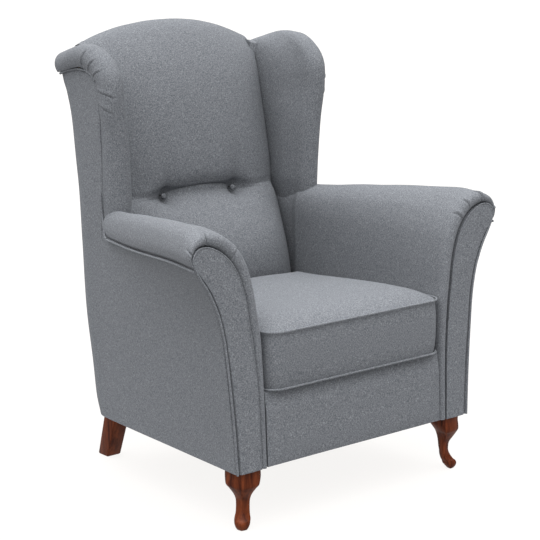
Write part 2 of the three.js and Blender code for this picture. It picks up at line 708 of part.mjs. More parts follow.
// Seat cushion plan: rounded corners, sides that follow the arms and draw in a little between the
// corners, and a rear edge that follows the back. The list runs from the front corner round to the rear
const cushionHalf = seatHalf - 2 * pipingRadius;
const cushionFrontY = frontY;
const seatTaper = (y) => (seatHalf - rearSeatHalf) * armShare(y, seatSeamHeight);
function cushionPlan(inset) {
  const radius = cushionCornerRadius - inset;
  const front = cushionFrontY + inset;
  const half = (y) => cushionHalf - inset - seatTaper(y);
  const rearAt = (x) => seatBackY - 2 * pipingRadius - 5 * gap - inset
    + backRun * backSideShares[0][0] * (1 - crownShare(Math.min(x / backHalf, 1)));
  const rearSide = rearAt(half(seatBackY)) - radius / 2;
  const corner = [0.25, 0.5, 0.75, 1].map((share) => {
    const turn = share * (Math.PI / 2);
    return [half(front) - radius + radius * Math.sin(turn), front + radius - radius * Math.cos(turn)];
  });
  const side = [0.25, 0.5, 0.75, 1].map((share) => {
    const y = lerp(front + radius, rearSide, share);
    return [half(y) - (cushionDrawIn / 2) * Math.sin(Math.PI * share), y];
  });
  const rear = [0.985, 0.93, 0.8, 0.6, 0.3].map((u) => [u * half(seatBackY), rearAt(u * half(seatBackY))]);
  const right = [[half(front) / 3, front], [half(front) - radius, front], ...corner, ...side, ...rear];
  const left = right.map(([x, y]) => [-x, y]).reverse();
  return [[0, front], ...right, [0, rearAt(0)], ...left];
}

function cushionRing(inset, z, scaleShare = 1) {
  const middleY = (cushionFrontY + seatBackY) / 2;
  return cushionPlan(inset).map(([x, y]) => at(x * scaleShare, lerp(middleY, y, scaleShare), z));
}

const bottomSeamZ = cushionBottom + pipingRadius + 2 * gap;
function seatCushion() {
  const tuck = 1.8 * pipingRadius;
  const boxing = seatSeamHeight - bottomSeamZ;
  const rings = [cushionRing(3 * tuck, cushionBottom), cushionRing(tuck, bottomSeamZ),
    cushionRing(0, bottomSeamZ + 0.12 * boxing), cushionRing(-tuck / 2, bottomSeamZ + 0.35 * boxing),
    cushionRing(-tuck / 2, bottomSeamZ + 0.65 * boxing), cushionRing(0, bottomSeamZ + 0.88 * boxing),
    cushionRing(tuck, seatSeamHeight)];
  const crownShares = [[0.96, 0.3], [0.88, 0.55], [0.74, 0.78], [0.54, 0.93], [0.28, 1]];
  crownShares.forEach(([scaleShare, rise]) => (
    rings.push(cushionRing(tuck, seatSeamHeight + rise * cushionCrown, scaleShare))));
  return loft(rings);
}

// Piping round the cushion, its two ends meeting at the middle of the rear edge
function cushionCord(z) {
  const ring = cushionRing(-pipingRadius / 2, z);
  const rear = ring.length / 2;
  const closed = [...ring.slice(rear), ...ring.slice(0, rear)];
  const [start, end] = [-pipingRadius, pipingRadius].map((x) => closed[0].clone().add(at(x, 0, 0)));
  return cord([start, ...closed.slice(1), end], pipingRadius, 66, 5);
}

// Front leg: square cabriole with one corner turned outwards. Height share, then the inner and outer
// reach along the diagonal and the half width across it, as shares of the knee
const cabrioleShares = [
  [1, -1.385, 0.385, 0.987], [0.91, -1.385, 0.36, 1], [0.845, -1.34, 0.39, 0.99],
  [0.745, -1.1, 0.41, 0.93], [0.68, -0.974, 0.308, 0.75], [0.58, -0.872, 0.077, 0.52],
  [0.49, -0.82, -0.128, 0.41], [0.415, -0.795, -0.18, 0.385], [0.33, -0.744, -0.18, 0.385],
  [0.256, -0.718, -0.077, 0.4], [0.18, -0.64, 0.103, 0.45], [0.136, -0.564, 0.28, 0.45],
  [0.09, -0.51, 0.333, 0.43], [0.038, -0.36, 0.28, 0.36], [0, -0.23, 0.18, 0.27],
];
const cornerSharpness = 1.7;
const frontLegX = sidePath(0).at(-1).x - frontLegSideInset;

function cabrioleLeg() {
  const top = legHeight - gap;
  const rounded = (value) => Math.sign(value) * Math.abs(value) ** cornerSharpness;
  return loft(cabrioleShares.map(([height, inner, outer, half]) => (
    Array.from({ length: 12 }, (_, i) => {
      const turn = (2 * Math.PI * i) / 12;
      const reach = lerp(inner, outer, (1 + rounded(Math.cos(turn))) / 2);
      const along45 = kneeHalfDiagonal * reach;
      const across45 = kneeHalfDiagonal * half * rounded(Math.sin(turn));
      return at(frontLegX + (along45 + across45) * Math.SQRT1_2,
        frontLegY + (across45 - along45) * Math.SQRT1_2, height * top);
    }))));
}

function rearLeg() {
  const ring = (z, size, y) => [[-1, -1], [1, -1], [1, 1], [-1, 1]].map(([i, j]) => (
    at(rearLegX + (i * size) / 2, y + (j * size) / 2, z)));
  return loft([ring(0, rearLegFoot, rearLegFootY),
    ring(legHeight - gap, rearLegTop, rearLegFootY - rearLegRake)]);
}

// Between the inner and the outer edge of the arm's front board
const frontBoltX = lerp(padPath(0)[0].x, sidePath(0).at(-1).x - panelThickness, 0.4);
const frontBoltPlace = at(frontBoltX, faceY(legHeight) + facingThickness + gap + boardThickness / 2,
  legHeight - boltLength / 2);
const rearBoltPlace = at(rearLegX - boltRadius * 2, rearRailY + boardThickness / 2,
  legHeight - boltLength / 2);

function bolt(place, grow) {
  const low = place.clone().add(at(0, 0, -grow));
  return bar(low, place.clone().add(at(0, 0, boltLength + grow)), boltRadius + grow, 10);
}

function apron() {
  const half = seatHalf - 2 * gap;
  const corners = [[-1, legHeight], [1, legHeight], [1, deckTop], [-1, deckTop]];
  const ring = (inset, depth) => corners.map(([side, z]) => {
    const edge = z === legHeight ? z : z - inset;
    return at(side * (half - inset), faceY(edge) + depth, edge);
  });
  const soft = facingThickness / 3;
  return loft([ring(soft, 0), ring(0, soft), ring(0, facingThickness)]);
}

function dustCover() {
  const top = legHeight - gap;
  const stepY = frontLegY + 1.25 * kneeHalfDiagonal;
  const rear = rearLegFootY - rearLegRake - rearLegTop / 2 - railClearance;
  const narrow = seatHalf - railClearance;
  const wideFront = sidePath(0).at(-1).x - panelThickness - 2 * railClearance;
  const wideRear = sidePath(1).at(-1).x - panelThickness - 2 * railClearance;
  const front = faceY(legHeight) + facingThickness + gap;
  const outline = [[-narrow, front], [narrow, front], [narrow, stepY], [wideFront, stepY],
    [wideRear, rear], [-wideRear, rear], [-wideFront, stepY], [-narrow, stepY]];
  return loft([top - dustCoverThickness, top].map((z) => outline.map(([x, y]) => at(x, y, z))));
}

// The assembly
const frontRailHalf = padPath((facingThickness + gap + boardThickness) / armLength)[0].x - gap;
add('front_seat_rail', 'beech', block(
  at(-frontRailHalf, railFrontY, legHeight),
  at(frontRailHalf, railFrontY + boardThickness, railTopHeight)));
add('rear_seat_rail', 'beech', cut(block(at(-sideRailHalf + gap, rearRailY, legHeight),
  at(sideRailHalf - gap, rearRailY + boardThickness, railTopHeight)),
bolt(rearBoltPlace, boltClearance), mirrored(bolt(rearBoltPlace, boltClearance))));
addPair('side_seat_rail', 'beech', block(
  at(sideRailHalf, railFrontY + boardThickness + gap, legHeight),
  at(sideRailHalf + boardThickness, postFrontY(legHeight) - gap, railTopHeight)));
addPair('arm_front_board', 'beech', cut(armFrontBoard(), bolt(frontBoltPlace, boltClearance)));
addPair('arm_rail', 'beech', armRail());
addPair('back_post', 'beech', backPost());
addPair('wing_board', 'beech', wingBoard());
add('back_top_board', 'beech', topBoard());
add('lumbar_rail', 'beech', lumbarRail());
[[1, railFrontY + boardThickness + gap, 'front'], [-1, rearRailY - gap, 'rear']].forEach(([way, y, end]) => {
  const inner = sideRailHalf - gap;
  const reachY = y + way * cornerBlockSize;
  addPair(`${end}_corner_block`, 'beech', block(
    at(inner - cornerBlockSize, Math.min(y, reachY), legHeight),
    at(inner, Math.max(y, reachY), legHeight + cornerBlockSize)));
});

for (let i = 0; i < springCount; i += 1) {
  const x = lerp(-seatHalf, seatHalf, (i + 0.5) / springCount);
  add(`seat_spring_${i + 1}`, 'steel', mergeVertices(seatSpring(x)));
}
add('seat_deck', 'lining', block(
  at(-seatHalf + gap, railFrontY + 2 * gap, deckBottom),
  at(seatHalf - gap, postFrontY(legHeight) - gap, deckTop)));
strapHeights.forEach((z, i) => add(`back_webbing_${i + 1}`, 'lining', strap(z)));

addPair('arm_pad', 'fabric', armPad());
addPair('arm_facing', 'fabric', armFacing());
addPair('facing_piping', 'fabric', facingCord(0));
addPair('arm_piping', 'fabric', armSeamCord(0));
addPair('side_panel', 'fabric', sidePanel());
addPair('wing_pad', 'fabric', wingPad());
addPair('wing_piping', 'fabric', wingCord(0));
add('outside_back', 'fabric', outsideBack());
add('back_cushion', 'fabric', backCushion());
['right', 'left'].forEach((side, i) => {
  add(`${side}_back_button`, 'fabric', button(buttonPlaces[i], 0));
  add(`${side}_button_twine`, 'lining', twine(buttonPlaces[i], 0));
});
add('front_apron', 'fabric', apron());
add('seat_cushion', 'fabric', seatCushion());
add('seat_cushion_top_piping', 'fabric', mergeVertices(cushionCord(seatSeamHeight)));
add('seat_cushion_bottom_piping', 'fabric', mergeVertices(cushionCord(bottomSeamZ)));
add('dust_cover', 'lining', dustCover());

addPair('front_leg', 'mahogany', cut(cabrioleLeg(), bolt(frontBoltPlace, boltClearance)));
addPair('rear_leg', 'mahogany', cut(rearLeg(), bolt(rearBoltPlace, boltClearance)));
addPair('front_leg_bolt', 'steel', bolt(frontBoltPlace, 0));
addPair('rear_leg_bolt', 'steel', bolt(rearBoltPlace, 0));

// The origin is on the floor under the middle of the whole chair
const reach = new THREE.Box3().setFromObject(chair);
chair.position.y = -(reach.min.y + reach.max.y) / 2;

export default chair;
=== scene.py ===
import json
import math

import bmesh
import bpy
import numpy as np
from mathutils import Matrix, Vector, noise


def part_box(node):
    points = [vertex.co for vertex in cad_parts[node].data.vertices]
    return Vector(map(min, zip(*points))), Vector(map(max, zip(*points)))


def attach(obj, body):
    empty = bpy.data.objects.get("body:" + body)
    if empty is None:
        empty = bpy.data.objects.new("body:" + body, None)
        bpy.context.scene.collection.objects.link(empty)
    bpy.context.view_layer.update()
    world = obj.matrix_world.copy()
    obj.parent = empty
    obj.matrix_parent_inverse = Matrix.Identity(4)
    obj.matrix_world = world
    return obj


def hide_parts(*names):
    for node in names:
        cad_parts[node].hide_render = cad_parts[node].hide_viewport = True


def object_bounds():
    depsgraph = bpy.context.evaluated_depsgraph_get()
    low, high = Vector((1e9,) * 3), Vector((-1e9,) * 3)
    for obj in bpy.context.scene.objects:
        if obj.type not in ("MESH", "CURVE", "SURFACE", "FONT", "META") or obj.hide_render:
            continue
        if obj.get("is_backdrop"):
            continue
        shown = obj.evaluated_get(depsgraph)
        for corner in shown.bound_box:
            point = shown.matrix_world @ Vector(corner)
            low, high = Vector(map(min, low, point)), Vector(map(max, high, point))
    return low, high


# Wingback armchair. Metres; the chair faces -Y; the left arm is the sitter's left, on the +X side.
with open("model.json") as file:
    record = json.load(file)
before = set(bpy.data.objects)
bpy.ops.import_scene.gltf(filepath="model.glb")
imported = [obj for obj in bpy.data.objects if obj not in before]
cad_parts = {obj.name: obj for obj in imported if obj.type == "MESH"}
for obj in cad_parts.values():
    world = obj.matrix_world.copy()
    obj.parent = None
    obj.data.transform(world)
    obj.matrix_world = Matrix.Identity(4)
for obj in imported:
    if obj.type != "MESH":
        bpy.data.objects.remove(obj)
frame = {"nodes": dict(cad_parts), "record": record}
cad_bounds = [list(corner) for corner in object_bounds()]

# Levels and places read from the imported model
APRON_LOW, APRON_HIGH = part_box("front_apron")
FRONT_Y = APRON_LOW.y
LEG_HEIGHT = APRON_LOW.z
DECK_TOP = APRON_HIGH.z
SEAT_LOW, SEAT_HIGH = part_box("seat_cushion")
TOP_SEAM = sum(c.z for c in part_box("seat_cushion_top_piping")) / 2
BOTTOM_SEAM = sum(c.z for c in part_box("seat_cushion_bottom_piping")) / 2
BACK_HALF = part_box("back_cushion")[1].x
BACK_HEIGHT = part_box("back_cushion")[1].z
FLOOR_Z = cad_bounds[0][2]

# Driving heights
ARM_HEIGHT = 0.658
REAR_ARM_HEIGHT = ARM_HEIGHT - 0.030
WING_TOP = BACK_HEIGHT - 0.039
# Half widths
SEAT_HALF = 0.264
REAR_SEAT_HALF = 0.250
ARM_HALF = 0.454
REAR_ARM_HALF = 0.330
SIDE_HALF = 0.325
# Places from front to rear, and how far the back and the arm's face lean
WING_SEAM_Y = FRONT_Y + 0.527
ARM_REAR_Y = FRONT_Y + 0.573
SEAT_BACK_Y = FRONT_Y + 0.456
REAR_BOTTOM_Y = FRONT_Y + 0.604
BACK_RUN = 0.305
BACK_LEAN = 0.130
FACE_LEAN = 0.024
# Thicknesses, radii and the spacing of the buttons
ARM_PAD = 0.020
FACING_DEPTH = 0.014
PANEL = 0.005
POST_INSET = 0.050
STRAP = 0.0024
CORNER_RADIUS = 0.080
PIPING = 0.0027
ROLL = 0.030
WING_BOARD = 0.016
BUTTON_SPACING = 0.212
BUTTON_RADIUS = 0.007
# Play between neighbouring pieces, and the weld distance of finely divided ones
CLEARANCE = 0.001
FINE_WELD = 1e-5


def lerp(a, b, t):
    return a + (b - a) * t


def ease(low, high, value):
    """Smooth step from 0 at low to 1 at high."""
    t = np.clip((value - low) / (high - low), 0, 1)
    return t * t * (3 - 2 * t)


def hump(distance, width):
    """Bell of height 1 around zero."""
    return np.exp(-((distance / width) ** 2))


def along(table, key):
    """Value at a key, along the straight lines through a table of pairs."""
    keys, values = zip(*table)
    return np.interp(key, keys, values)


# Curves

def spline(points, keys):
    """Catmull-Rom curve through the points, at fractional point numbers."""
    p = np.asarray(points, float)
    padded = np.vstack([2 * p[0] - p[1], p, 2 * p[-1] - p[-2]])
    keys = np.clip(np.asarray(keys, float), 0, len(p) - 1 - 1e-9)
    i = keys.astype(int)
    t = (keys - i)[:, None]
    a, b, c, d = (padded[i + k] for k in range(4))
    return 0.5 * (2 * b + (c - a) * t + (2 * a - 5 * b + 4 * c - d) * t ** 2
                  + (3 * b - a - 3 * c + d) * t ** 3)


def run_along(points):
    """Distance along straight lines through the points, at each of them."""
    return np.concatenate([[0], np.cumsum(np.linalg.norm(np.diff(points, axis=0), axis=1))])


def even_keys(points, count):
    """Fractional point numbers that lie evenly along the curve."""
    fine = np.linspace(0, len(points) - 1, 20 * len(points))
    run = run_along(spline(points, fine))
    return np.interp(np.linspace(0, run[-1], count), run, fine)


def even(points, count):
    return spline(points, even_keys(points, count))


SQUARE = ((-1, -1), (1, -1), (1, 1), (-1, 1))


def round_turns(count):
    return np.linspace(0, 2 * math.pi, count, endpoint=False)


def sideways(path):
    """Unit normals of a plane path, to the left of its direction."""
    run = np.gradient(path, axis=0)
    run /= np.linalg.norm(run, axis=1)[:, None] + 1e-12
    return np.column_stack([-run[:, 1], run[:, 0]])


# Meshes

def scene_object(name, data):
    made = bpy.data.objects.new(name, data)
    bpy.context.scene.collection.objects.link(made)
    return made


def mesh_piece(name, vertices, faces, material, weld=0.0002, sharp=50):
    """Object from points and faces, welded, turned outwards and smooth shaded."""
    mesh = bpy.data.meshes.new(name)
    mesh.from_pydata([tuple(v) for v in vertices], [], faces)
    bm = bmesh.new()
    bm.from_mesh(mesh)
    bmesh.ops.remove_doubles(bm, verts=bm.verts, dist=weld)
    bmesh.ops.dissolve_degenerate(bm, edges=bm.edges, dist=weld / 10)
    bmesh.ops.recalc_face_normals(bm, faces=bm.faces)
    bm.to_mesh(mesh)
    bm.free()
    mesh.polygons.foreach_set("use_smooth", [True] * len(mesh.polygons))
    mesh.set_sharp_from_angle(angle=math.radians(sharp))
    mesh.materials.append(material)
    return scene_object(name, mesh)


def grid_faces(rows, columns, wrap_rows=False, wrap_columns=False, start=0):
    faces = []
    for i in range(rows if wrap_rows else rows - 1):
        for j in range(columns if wrap_columns else columns - 1):
            a, b = i * columns + j, i * columns + (j + 1) % columns
            c, d = (i + 1) % rows * columns + (j + 1) % columns, (i + 1) % rows * columns + j
            faces.append((start + a, start + b, start + c, start + d))
    return faces


def sleeve(name, rings, material, **options):
    """Closed solid through rings of equal length, capped at both ends."""
    rings = np.asarray(rings, float)
    rows, columns = rings.shape[:2]
    faces = grid_faces(rows, columns, wrap_columns=True)
    faces.append(tuple(range(columns)))
    faces.append(tuple((rows - 1) * columns + j for j in reversed(range(columns))))
    return mesh_piece(name, rings.reshape(-1, 3), faces, material, **options)


def slab(name, front, back, material, **options):
    """Closed solid between two grids of points of the same size."""
    front, back = np.asarray(front, float), np.asarray(back, float)
    rows, columns = front.shape[:2]
    total = rows * columns
    faces = grid_faces(rows, columns) + [f[::-1] for f in grid_faces(rows, columns, start=total)]
    rim = ([j for j in range(columns)] + [i * columns + columns - 1 for i in range(1, rows)]
           + [(rows - 1) * columns + j for j in reversed(range(columns - 1))]
           + [i * columns for i in reversed(range(1, rows - 1))])
    for k, a in enumerate(rim):
        b = rim[(k + 1) % len(rim)]
        faces.append((b, a, a + total, b + total))
    points = np.vstack([front.reshape(-1, 3), back.reshape(-1, 3)])
    return mesh_piece(name, points, faces, material, **options)


def tube(name, path, radius, material, sides=12, closed=False):
    """Round cord along a path of points, with one radius or one for each point."""
    path = np.asarray(path, float)
    run = np.roll(path, -1, 0) - np.roll(path, 1, 0) if closed else np.gradient(path, axis=0)
    run /= np.linalg.norm(run, axis=1)[:, None]
    up = np.cross(run[0], (0.0, 0.0, 1.0) if abs(run[0][2]) < 0.9 else (1.0, 0.0, 0.0))
    rings = []
    for point, way, size in zip(path, run, np.broadcast_to(radius, len(path))):
        up = up - way * np.dot(up, way)
        up /= np.linalg.norm(up)
        side = np.cross(way, up)
        rings.append([point + size * (math.cos(t) * up + math.sin(t) * side) for t in round_turns(sides)])
    if not closed:
        return sleeve(name, rings, material, weld=FINE_WELD)
    flat = np.asarray(rings).reshape(-1, 3)
    return mesh_piece(name, flat, grid_faces(len(rings), sides, True, True), material, weld=FINE_WELD)


def mirror(piece, name):
    """The same piece on the other side of the middle plane."""
    mesh = piece.data.copy()
    mesh.name = name
    bm = bmesh.new()
    bm.from_mesh(mesh)
    for vertex in bm.verts:
        vertex.co.x = -vertex.co.x
    bmesh.ops.reverse_faces(bm, faces=bm.faces)
    bm.to_mesh(mesh)
    bm.free()
    return scene_object(name, mesh)


def unevenness(points, size, height, seed):
    """Small smooth ups and downs, one number per point."""
    offset = Vector((seed * 3.1, seed * 1.7, seed * 2.3))
    flat = np.asarray(points).reshape(-1, 3)
    values = [noise.noise(Vector(p) / size + offset) for p in flat]
    return height * np.asarray(values).reshape(np.asarray(points).shape[:-1])


def surface_normals(grid):
    """Unit normals of a grid of points."""
    du, dv = np.gradient(grid, axis=0), np.gradient(grid, axis=1)
    normal = np.cross(du, dv)
    return normal / (np.linalg.norm(normal, axis=2)[:, :, None] + 1e-12)


# Materials

class Tree:
    """Nodes of a material or of the world."""

    def __init__(self, owner):
        owner.use_nodes = True
        self.nodes, self.links = owner.node_tree.nodes, owner.node_tree.links

    def connect(self, node, settings, sources):
        """Sets some inputs of a node and links others."""
        for socket, value in settings.items():
            node.inputs[socket].default_value = value
        for socket, source in sources.items():
            self.links.new(source, node.inputs[socket])

    def add(self, kind, output, settings, sources, **options):
        """Adds a node and gives one of its outputs."""
        node = self.nodes.new("ShaderNode" + kind)
        for option, value in options.items():
            setattr(node, option, value)
        self.connect(node, settings, sources)
        return node.outputs[output]


class Finish(Tree):
    """A material and the helpers that paint it."""

    def __init__(self, name):
        self.material = bpy.data.materials.new(name)
        super().__init__(self.material)
        self.place = self.add("TexCoord", "Object", {}, {})

    def stretched(self, scale):
        return self.add("Mapping", "Vector", {"Scale": scale}, {"Vector": self.place})

    def noise(self, place, scale, detail=2.0, roughness=0.5):
        settings = {"Scale": scale, "Detail": detail, "Roughness": roughness}
        return self.add("TexNoise", "Fac", settings, {"Vector": place})

    def ramp(self, value, stops):
        colour = self.add("ValToRGB", "Color", {}, {"Fac": value})
        elements = colour.node.color_ramp.elements
        while len(elements) < len(stops):
            elements.new(0.5)
        for element, (position, shade) in zip(elements, stops):
            element.position = position
            element.color = (*shade, 1)
        return colour

    def mixed(self, first, second, share, blend="MIX"):
        sources = {"A": first, "B": second}
        return self.add("Mix", "Result", {"Factor": share}, sources, data_type="RGBA", blend_type=blend)

    def bumped(self, height, strength, distance, **before):
        """Relief by height, on top of the one that Normal gives."""
        settings = {"Strength": strength, "Distance": distance}
        return self.add("Bump", "Normal", settings, {"Height": height, **before})

    def shaded(self, settings, sources):
        self.connect(self.nodes["Principled BSDF"], settings, sources)
        return self.material


THREAD = 0.0016
HEATHER_DARK = (0.039, 0.043, 0.050)
HEATHER_MID = (0.087, 0.093, 0.103)
HEATHER_LIGHT = (0.163, 0.171, 0.185)


def make_fabric():
    """Heathered woven cloth: light and dark threads, fine slubs and a soft sheen."""
    cloth = Finish("heather_cloth")
    thin, long = 1 / THREAD, 1 / (2.5 * THREAD)
    upright = cloth.noise(cloth.stretched((thin, thin, long)), 1.0)
    level = cloth.noise(cloth.stretched((long, thin, thin)), 1.0)
    slubs = cloth.noise(cloth.place, 1 / (1.6 * THREAD))
    stops = [(0.3, HEATHER_DARK), (0.5, HEATHER_MID), (0.7, HEATHER_LIGHT)]
    threads = cloth.mixed(cloth.ramp(upright, stops), cloth.ramp(level, stops), 0.5)
    tint = cloth.ramp(slubs, [(0.32, (0.86, 0.86, 0.87)), (0.68, (1.14, 1.13, 1.12))])
    colour = cloth.mixed(threads, tint, 1.0, "MULTIPLY")
    relief = cloth.bumped(level, 0.3, THREAD / 4, Normal=cloth.bumped(upright, 0.3, THREAD / 4))
    settings = {"Roughness": 0.85, "Specular IOR Level": 0.1, "Sheen Weight": 0.03, "Sheen Roughness": 0.4,
                "Sheen Tint": (0.9, 0.93, 1.0, 1)}
    return cloth.shaded(settings, {"Base Color": colour, "Normal": relief})


def make_wood(name, dark, light, grain, roughness, coat):
    """Varnished or raw wood with grain along Z."""
    wood = Finish(name)
    figure = wood.noise(wood.stretched((1 / grain, 1 / grain, 1 / (12 * grain))), 1.0, 5.0, 0.6)
    pores = wood.noise(wood.stretched((9 / grain, 9 / grain, 0.6 / grain)), 1.0)
    body = wood.ramp(figure, [(0.32, dark), (0.68, light)])
    shade = wood.ramp(pores, [(0.3, (0.8, 0.78, 0.76)), (0.55, (1.0, 1.0, 1.0))])
    colour = wood.mixed(body, shade, 1.0, "MULTIPLY")
    settings = {"Roughness": roughness, "Coat Weight": coat, "Coat Roughness": 0.09,
                "Specular IOR Level": 0.02}
    return wood.shaded(settings, {"Base Color": colour, "Normal": wood.bumped(pores, 0.08, grain / 40)})


def make_steel():
    """Drawn wire, faintly streaked along Y."""
    steel = Finish("spring_steel")
    drawn = steel.noise(steel.stretched((900, 120, 900)), 1.0, 3.0)
    colour = steel.ramp(drawn, [(0.3, (0.2, 0.21, 0.22)), (0.7, (0.36, 0.37, 0.39))])
    return steel.shaded({"Metallic": 1.0, "Roughness": 0.35}, {"Base Color": colour})


def make_lining():
    """Black nonwoven cloth."""
    lining = Finish("black_lining")
    fibres = lining.noise(lining.place, 700, 4.0, 0.7)
    colour = lining.ramp(fibres, [(0.35, (0.012, 0.012, 0.014)), (0.7, (0.035, 0.036, 0.04))])
    relief = lining.bumped(fibres, 0.4, 0.0004)
    return lining.shaded({"Roughness": 0.95}, {"Base Color": colour, "Normal": relief})


FABRIC = make_fabric()
MAHOGANY = make_wood("mahogany", (0.026, 0.005, 0.002), (0.108, 0.026, 0.009), 0.012, 0.3, 0.09)
BEECH = make_wood("beech", (0.48, 0.29, 0.14), (0.62, 0.4, 0.21), 0.02, 0.6, 0.0)
STEEL = make_steel()
LINING = make_lining()


def place_on(piece, nodes, body="chair"):
    """Sets a piece on its body in place of CAD nodes."""
    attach(piece, body)
    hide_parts(*nodes)


def both_sides(piece, node):
    """Sets a left piece and its mirror image on their nodes."""
    other = mirror(piece, "right" + piece.name[4:])
    place_on(piece, [f"left_{node}"])
    place_on(other, [f"right_{node}"])


# Shared section lines of the arm, the sides and the back

def face_y(z):
    """Front face of the arms and the apron, which leans back a little."""
    return FRONT_Y + FACE_LEAN * (z - LEG_HEIGHT) / (ARM_HEIGHT - LEG_HEIGHT)


# Rear outline of the chair: share of the height, share of the lean
REAR_SHARES = [
    (0, 0), (0.05, 0.13), (0.147, 0.24), (0.288, 0.4), (0.448, 0.477), (0.573, 0.53), (0.672, 0.63),
    (0.77, 0.72), (0.838, 0.854), (0.873, 0.96), (0.934, 1.09), (1, 1.2)]


def rear_y(z):
    shares = np.asarray(REAR_SHARES)
    fine = spline(shares, np.linspace(0, len(shares) - 1, 200))
    return REAR_BOTTOM_Y + BACK_LEAN * np.interp((z - LEG_HEIGHT) / (BACK_HEIGHT - LEG_HEIGHT),
                                                 fine[:, 0], fine[:, 1])


# Sections at the front and at the wing, from the foot up the inside of the arm and over the roll to the
# outer seam, then down the side: share of the width that the arm flares by, share of the arm's height
ARM_FRONT_SHARES = [
    (0, 0), (0.005, 0.318), (0.021, 0.522), (0.053, 0.606), (0.1, 0.726), (0.168, 0.829), (0.284, 0.909),
    (0.426, 0.958), (0.558, 0.985), (0.716, 1), (0.847, 0.994), (0.947, 0.97), (1, 0.924), (0.984, 0.89),
    (0.942, 0.863)]
ARM_REAR_SHARES = [
    (0, 0), (0, 0.338), (0, 0.55), (0, 0.66), (0.005, 0.79), (0.035, 0.885), (0.12, 0.944), (0.26, 0.974),
    (0.41, 0.99), (0.555, 1), (0.72, 0.996), (0.89, 0.98), (0.985, 0.953), (1, 0.931), (0.97, 0.915)]
SIDE_FRONT_SHARES = [
    (0.942, 0.863), (0.863, 0.817), (0.779, 0.771), (0.705, 0.718), (0.637, 0.653), (0.574, 0.547),
    (0.532, 0.404), (0.489, 0.213), (0.458, 0)]
SIDE_REAR_SHARES = [((SIDE_HALF - REAR_SEAT_HALF) / (REAR_ARM_HALF - REAR_SEAT_HALF), 0.915 * share)
                    for share in (1, 0.951, 0.897, 0.836, 0.76, 0.636, 0.47, 0.248, 0)]


def section(shares, low_half, high_half, height):
    return np.array([(lerp(low_half, high_half, x), lerp(LEG_HEIGHT, height, z)) for x, z in shares])


# Where the arm's padding ends at the front: the inner and upper edge of the facing
PAD_FRONT_SHARES = [
    (0.105, 0), (0.126, 0.318), (0.179, 0.522), (0.211, 0.596), (0.258, 0.709), (0.332, 0.8),
    (0.421, 0.861), (0.516, 0.899), (0.611, 0.924), (0.726, 0.943), (0.821, 0.947), (0.905, 0.937),
    (0.958, 0.912), (0.958, 0.89), (0.932, 0.867)]

ARM_FRONT, SIDE_FRONT, PAD_FRONT = (section(shares, SEAT_HALF, ARM_HALF, ARM_HEIGHT)
                                    for shares in (ARM_FRONT_SHARES, SIDE_FRONT_SHARES, PAD_FRONT_SHARES))
ARM_REAR, SIDE_REAR = (section(shares, REAR_SEAT_HALF, REAR_ARM_HALF, REAR_ARM_HEIGHT)
                       for shares in (ARM_REAR_SHARES, SIDE_REAR_SHARES))
ARM_LENGTH = WING_SEAM_Y - FRONT_Y


def arm_path(s, keys):
    return spline(lerp(ARM_FRONT, ARM_REAR, s), keys)


def side_path(s, keys):
    return spline(lerp(SIDE_FRONT, SIDE_REAR, s), keys)


def pad_path(s, keys):
    """Inside of the arm's padding: the facing's edge at the front, an even thickness at the wing."""
    rear = arm_path(1, keys)
    return lerp(spline(PAD_FRONT, keys), rear - sideways(rear) * ARM_PAD, s)


def arm_depth_y(s, z):
    return lerp(face_y(z), WING_SEAM_Y, s)


# Pleats on the front of the arm: place along the section by point number, how far back they run and
# how strong they are
ARM_PLEATS = [(6.3, 0.018, 0.5), (7.6, 0.018, 0.5), (9.4, 0.030, 1), (11.7, 0.024, 0.6)]
# Spacing of the section's points, how many of them the pleats lean by in a metre, and the pleats' size
ARM_POINT_SPACING = 0.03
PLEAT_LEAN = 10
PLEAT_DEPTH = 0.0048
PLEAT_RIDGE = 0.006
# Rounded front edge of the padding: share of its width, and depth in facing depths. It starts deep
# beside the facing, which leaves the groove that the facing's cord lies in
NOSE = [
    (1, 0.85), (0.95, 0.7), (0.88, 0.46), (0.8, 0.25), (0.7, 0.08), (0.57, -0.04), (0.44, -0.06),
    (0.31, 0.0), (0.2, 0.14), (0.11, 0.34), (0.05, 0.6), (0.01, 0.9), (0, 1.25)]
NOSE_DEPTH = 1.3 * FACING_DEPTH
# How the stuffing departs from the straight sweep: fuller behind the front edge and to the outside there,
# puffed beside the wing's foot, drawn in against the wing and at the outer seam
FRONT_SWELL = 0.0085
OUTER_SWELL = 0.003
WING_PUFF = 0.008
WING_TUCK = 0.006
SEAM_TUCK = 0.0035
SEAM_SAG = 0.015
# How far the padding goes on behind the arm's own end, and the loops along it: start, end, count
ARM_TAIL = 0.036
ARM_RUNS = [(0.022, 0.06, 12), (0.075, ARM_LENGTH - 0.032, 26), (ARM_LENGTH - 0.028, ARM_LENGTH, 8)]


def seam_sag(s):
    """How far the outer seam hangs below its straight line towards the wing."""
    return SEAM_SAG * ease(0.1, 0.75, s) * (1 - ease(0.9, 1.0, s))


def arm_groove(keys, depth):
    """Depth of the pleats at the points of one loop."""
    groove = np.zeros(len(keys))
    for place, reach, strength in ARM_PLEATS:
        across = (keys - place + PLEAT_LEAN * depth) * ARM_POINT_SPACING
        fade = strength * (1 - ease(0.3 * reach, reach, depth))
        groove += fade * PLEAT_DEPTH * (hump(across, 0.0022) - 0.5 * hump(across - PLEAT_RIDGE, 0.0045))
    return groove


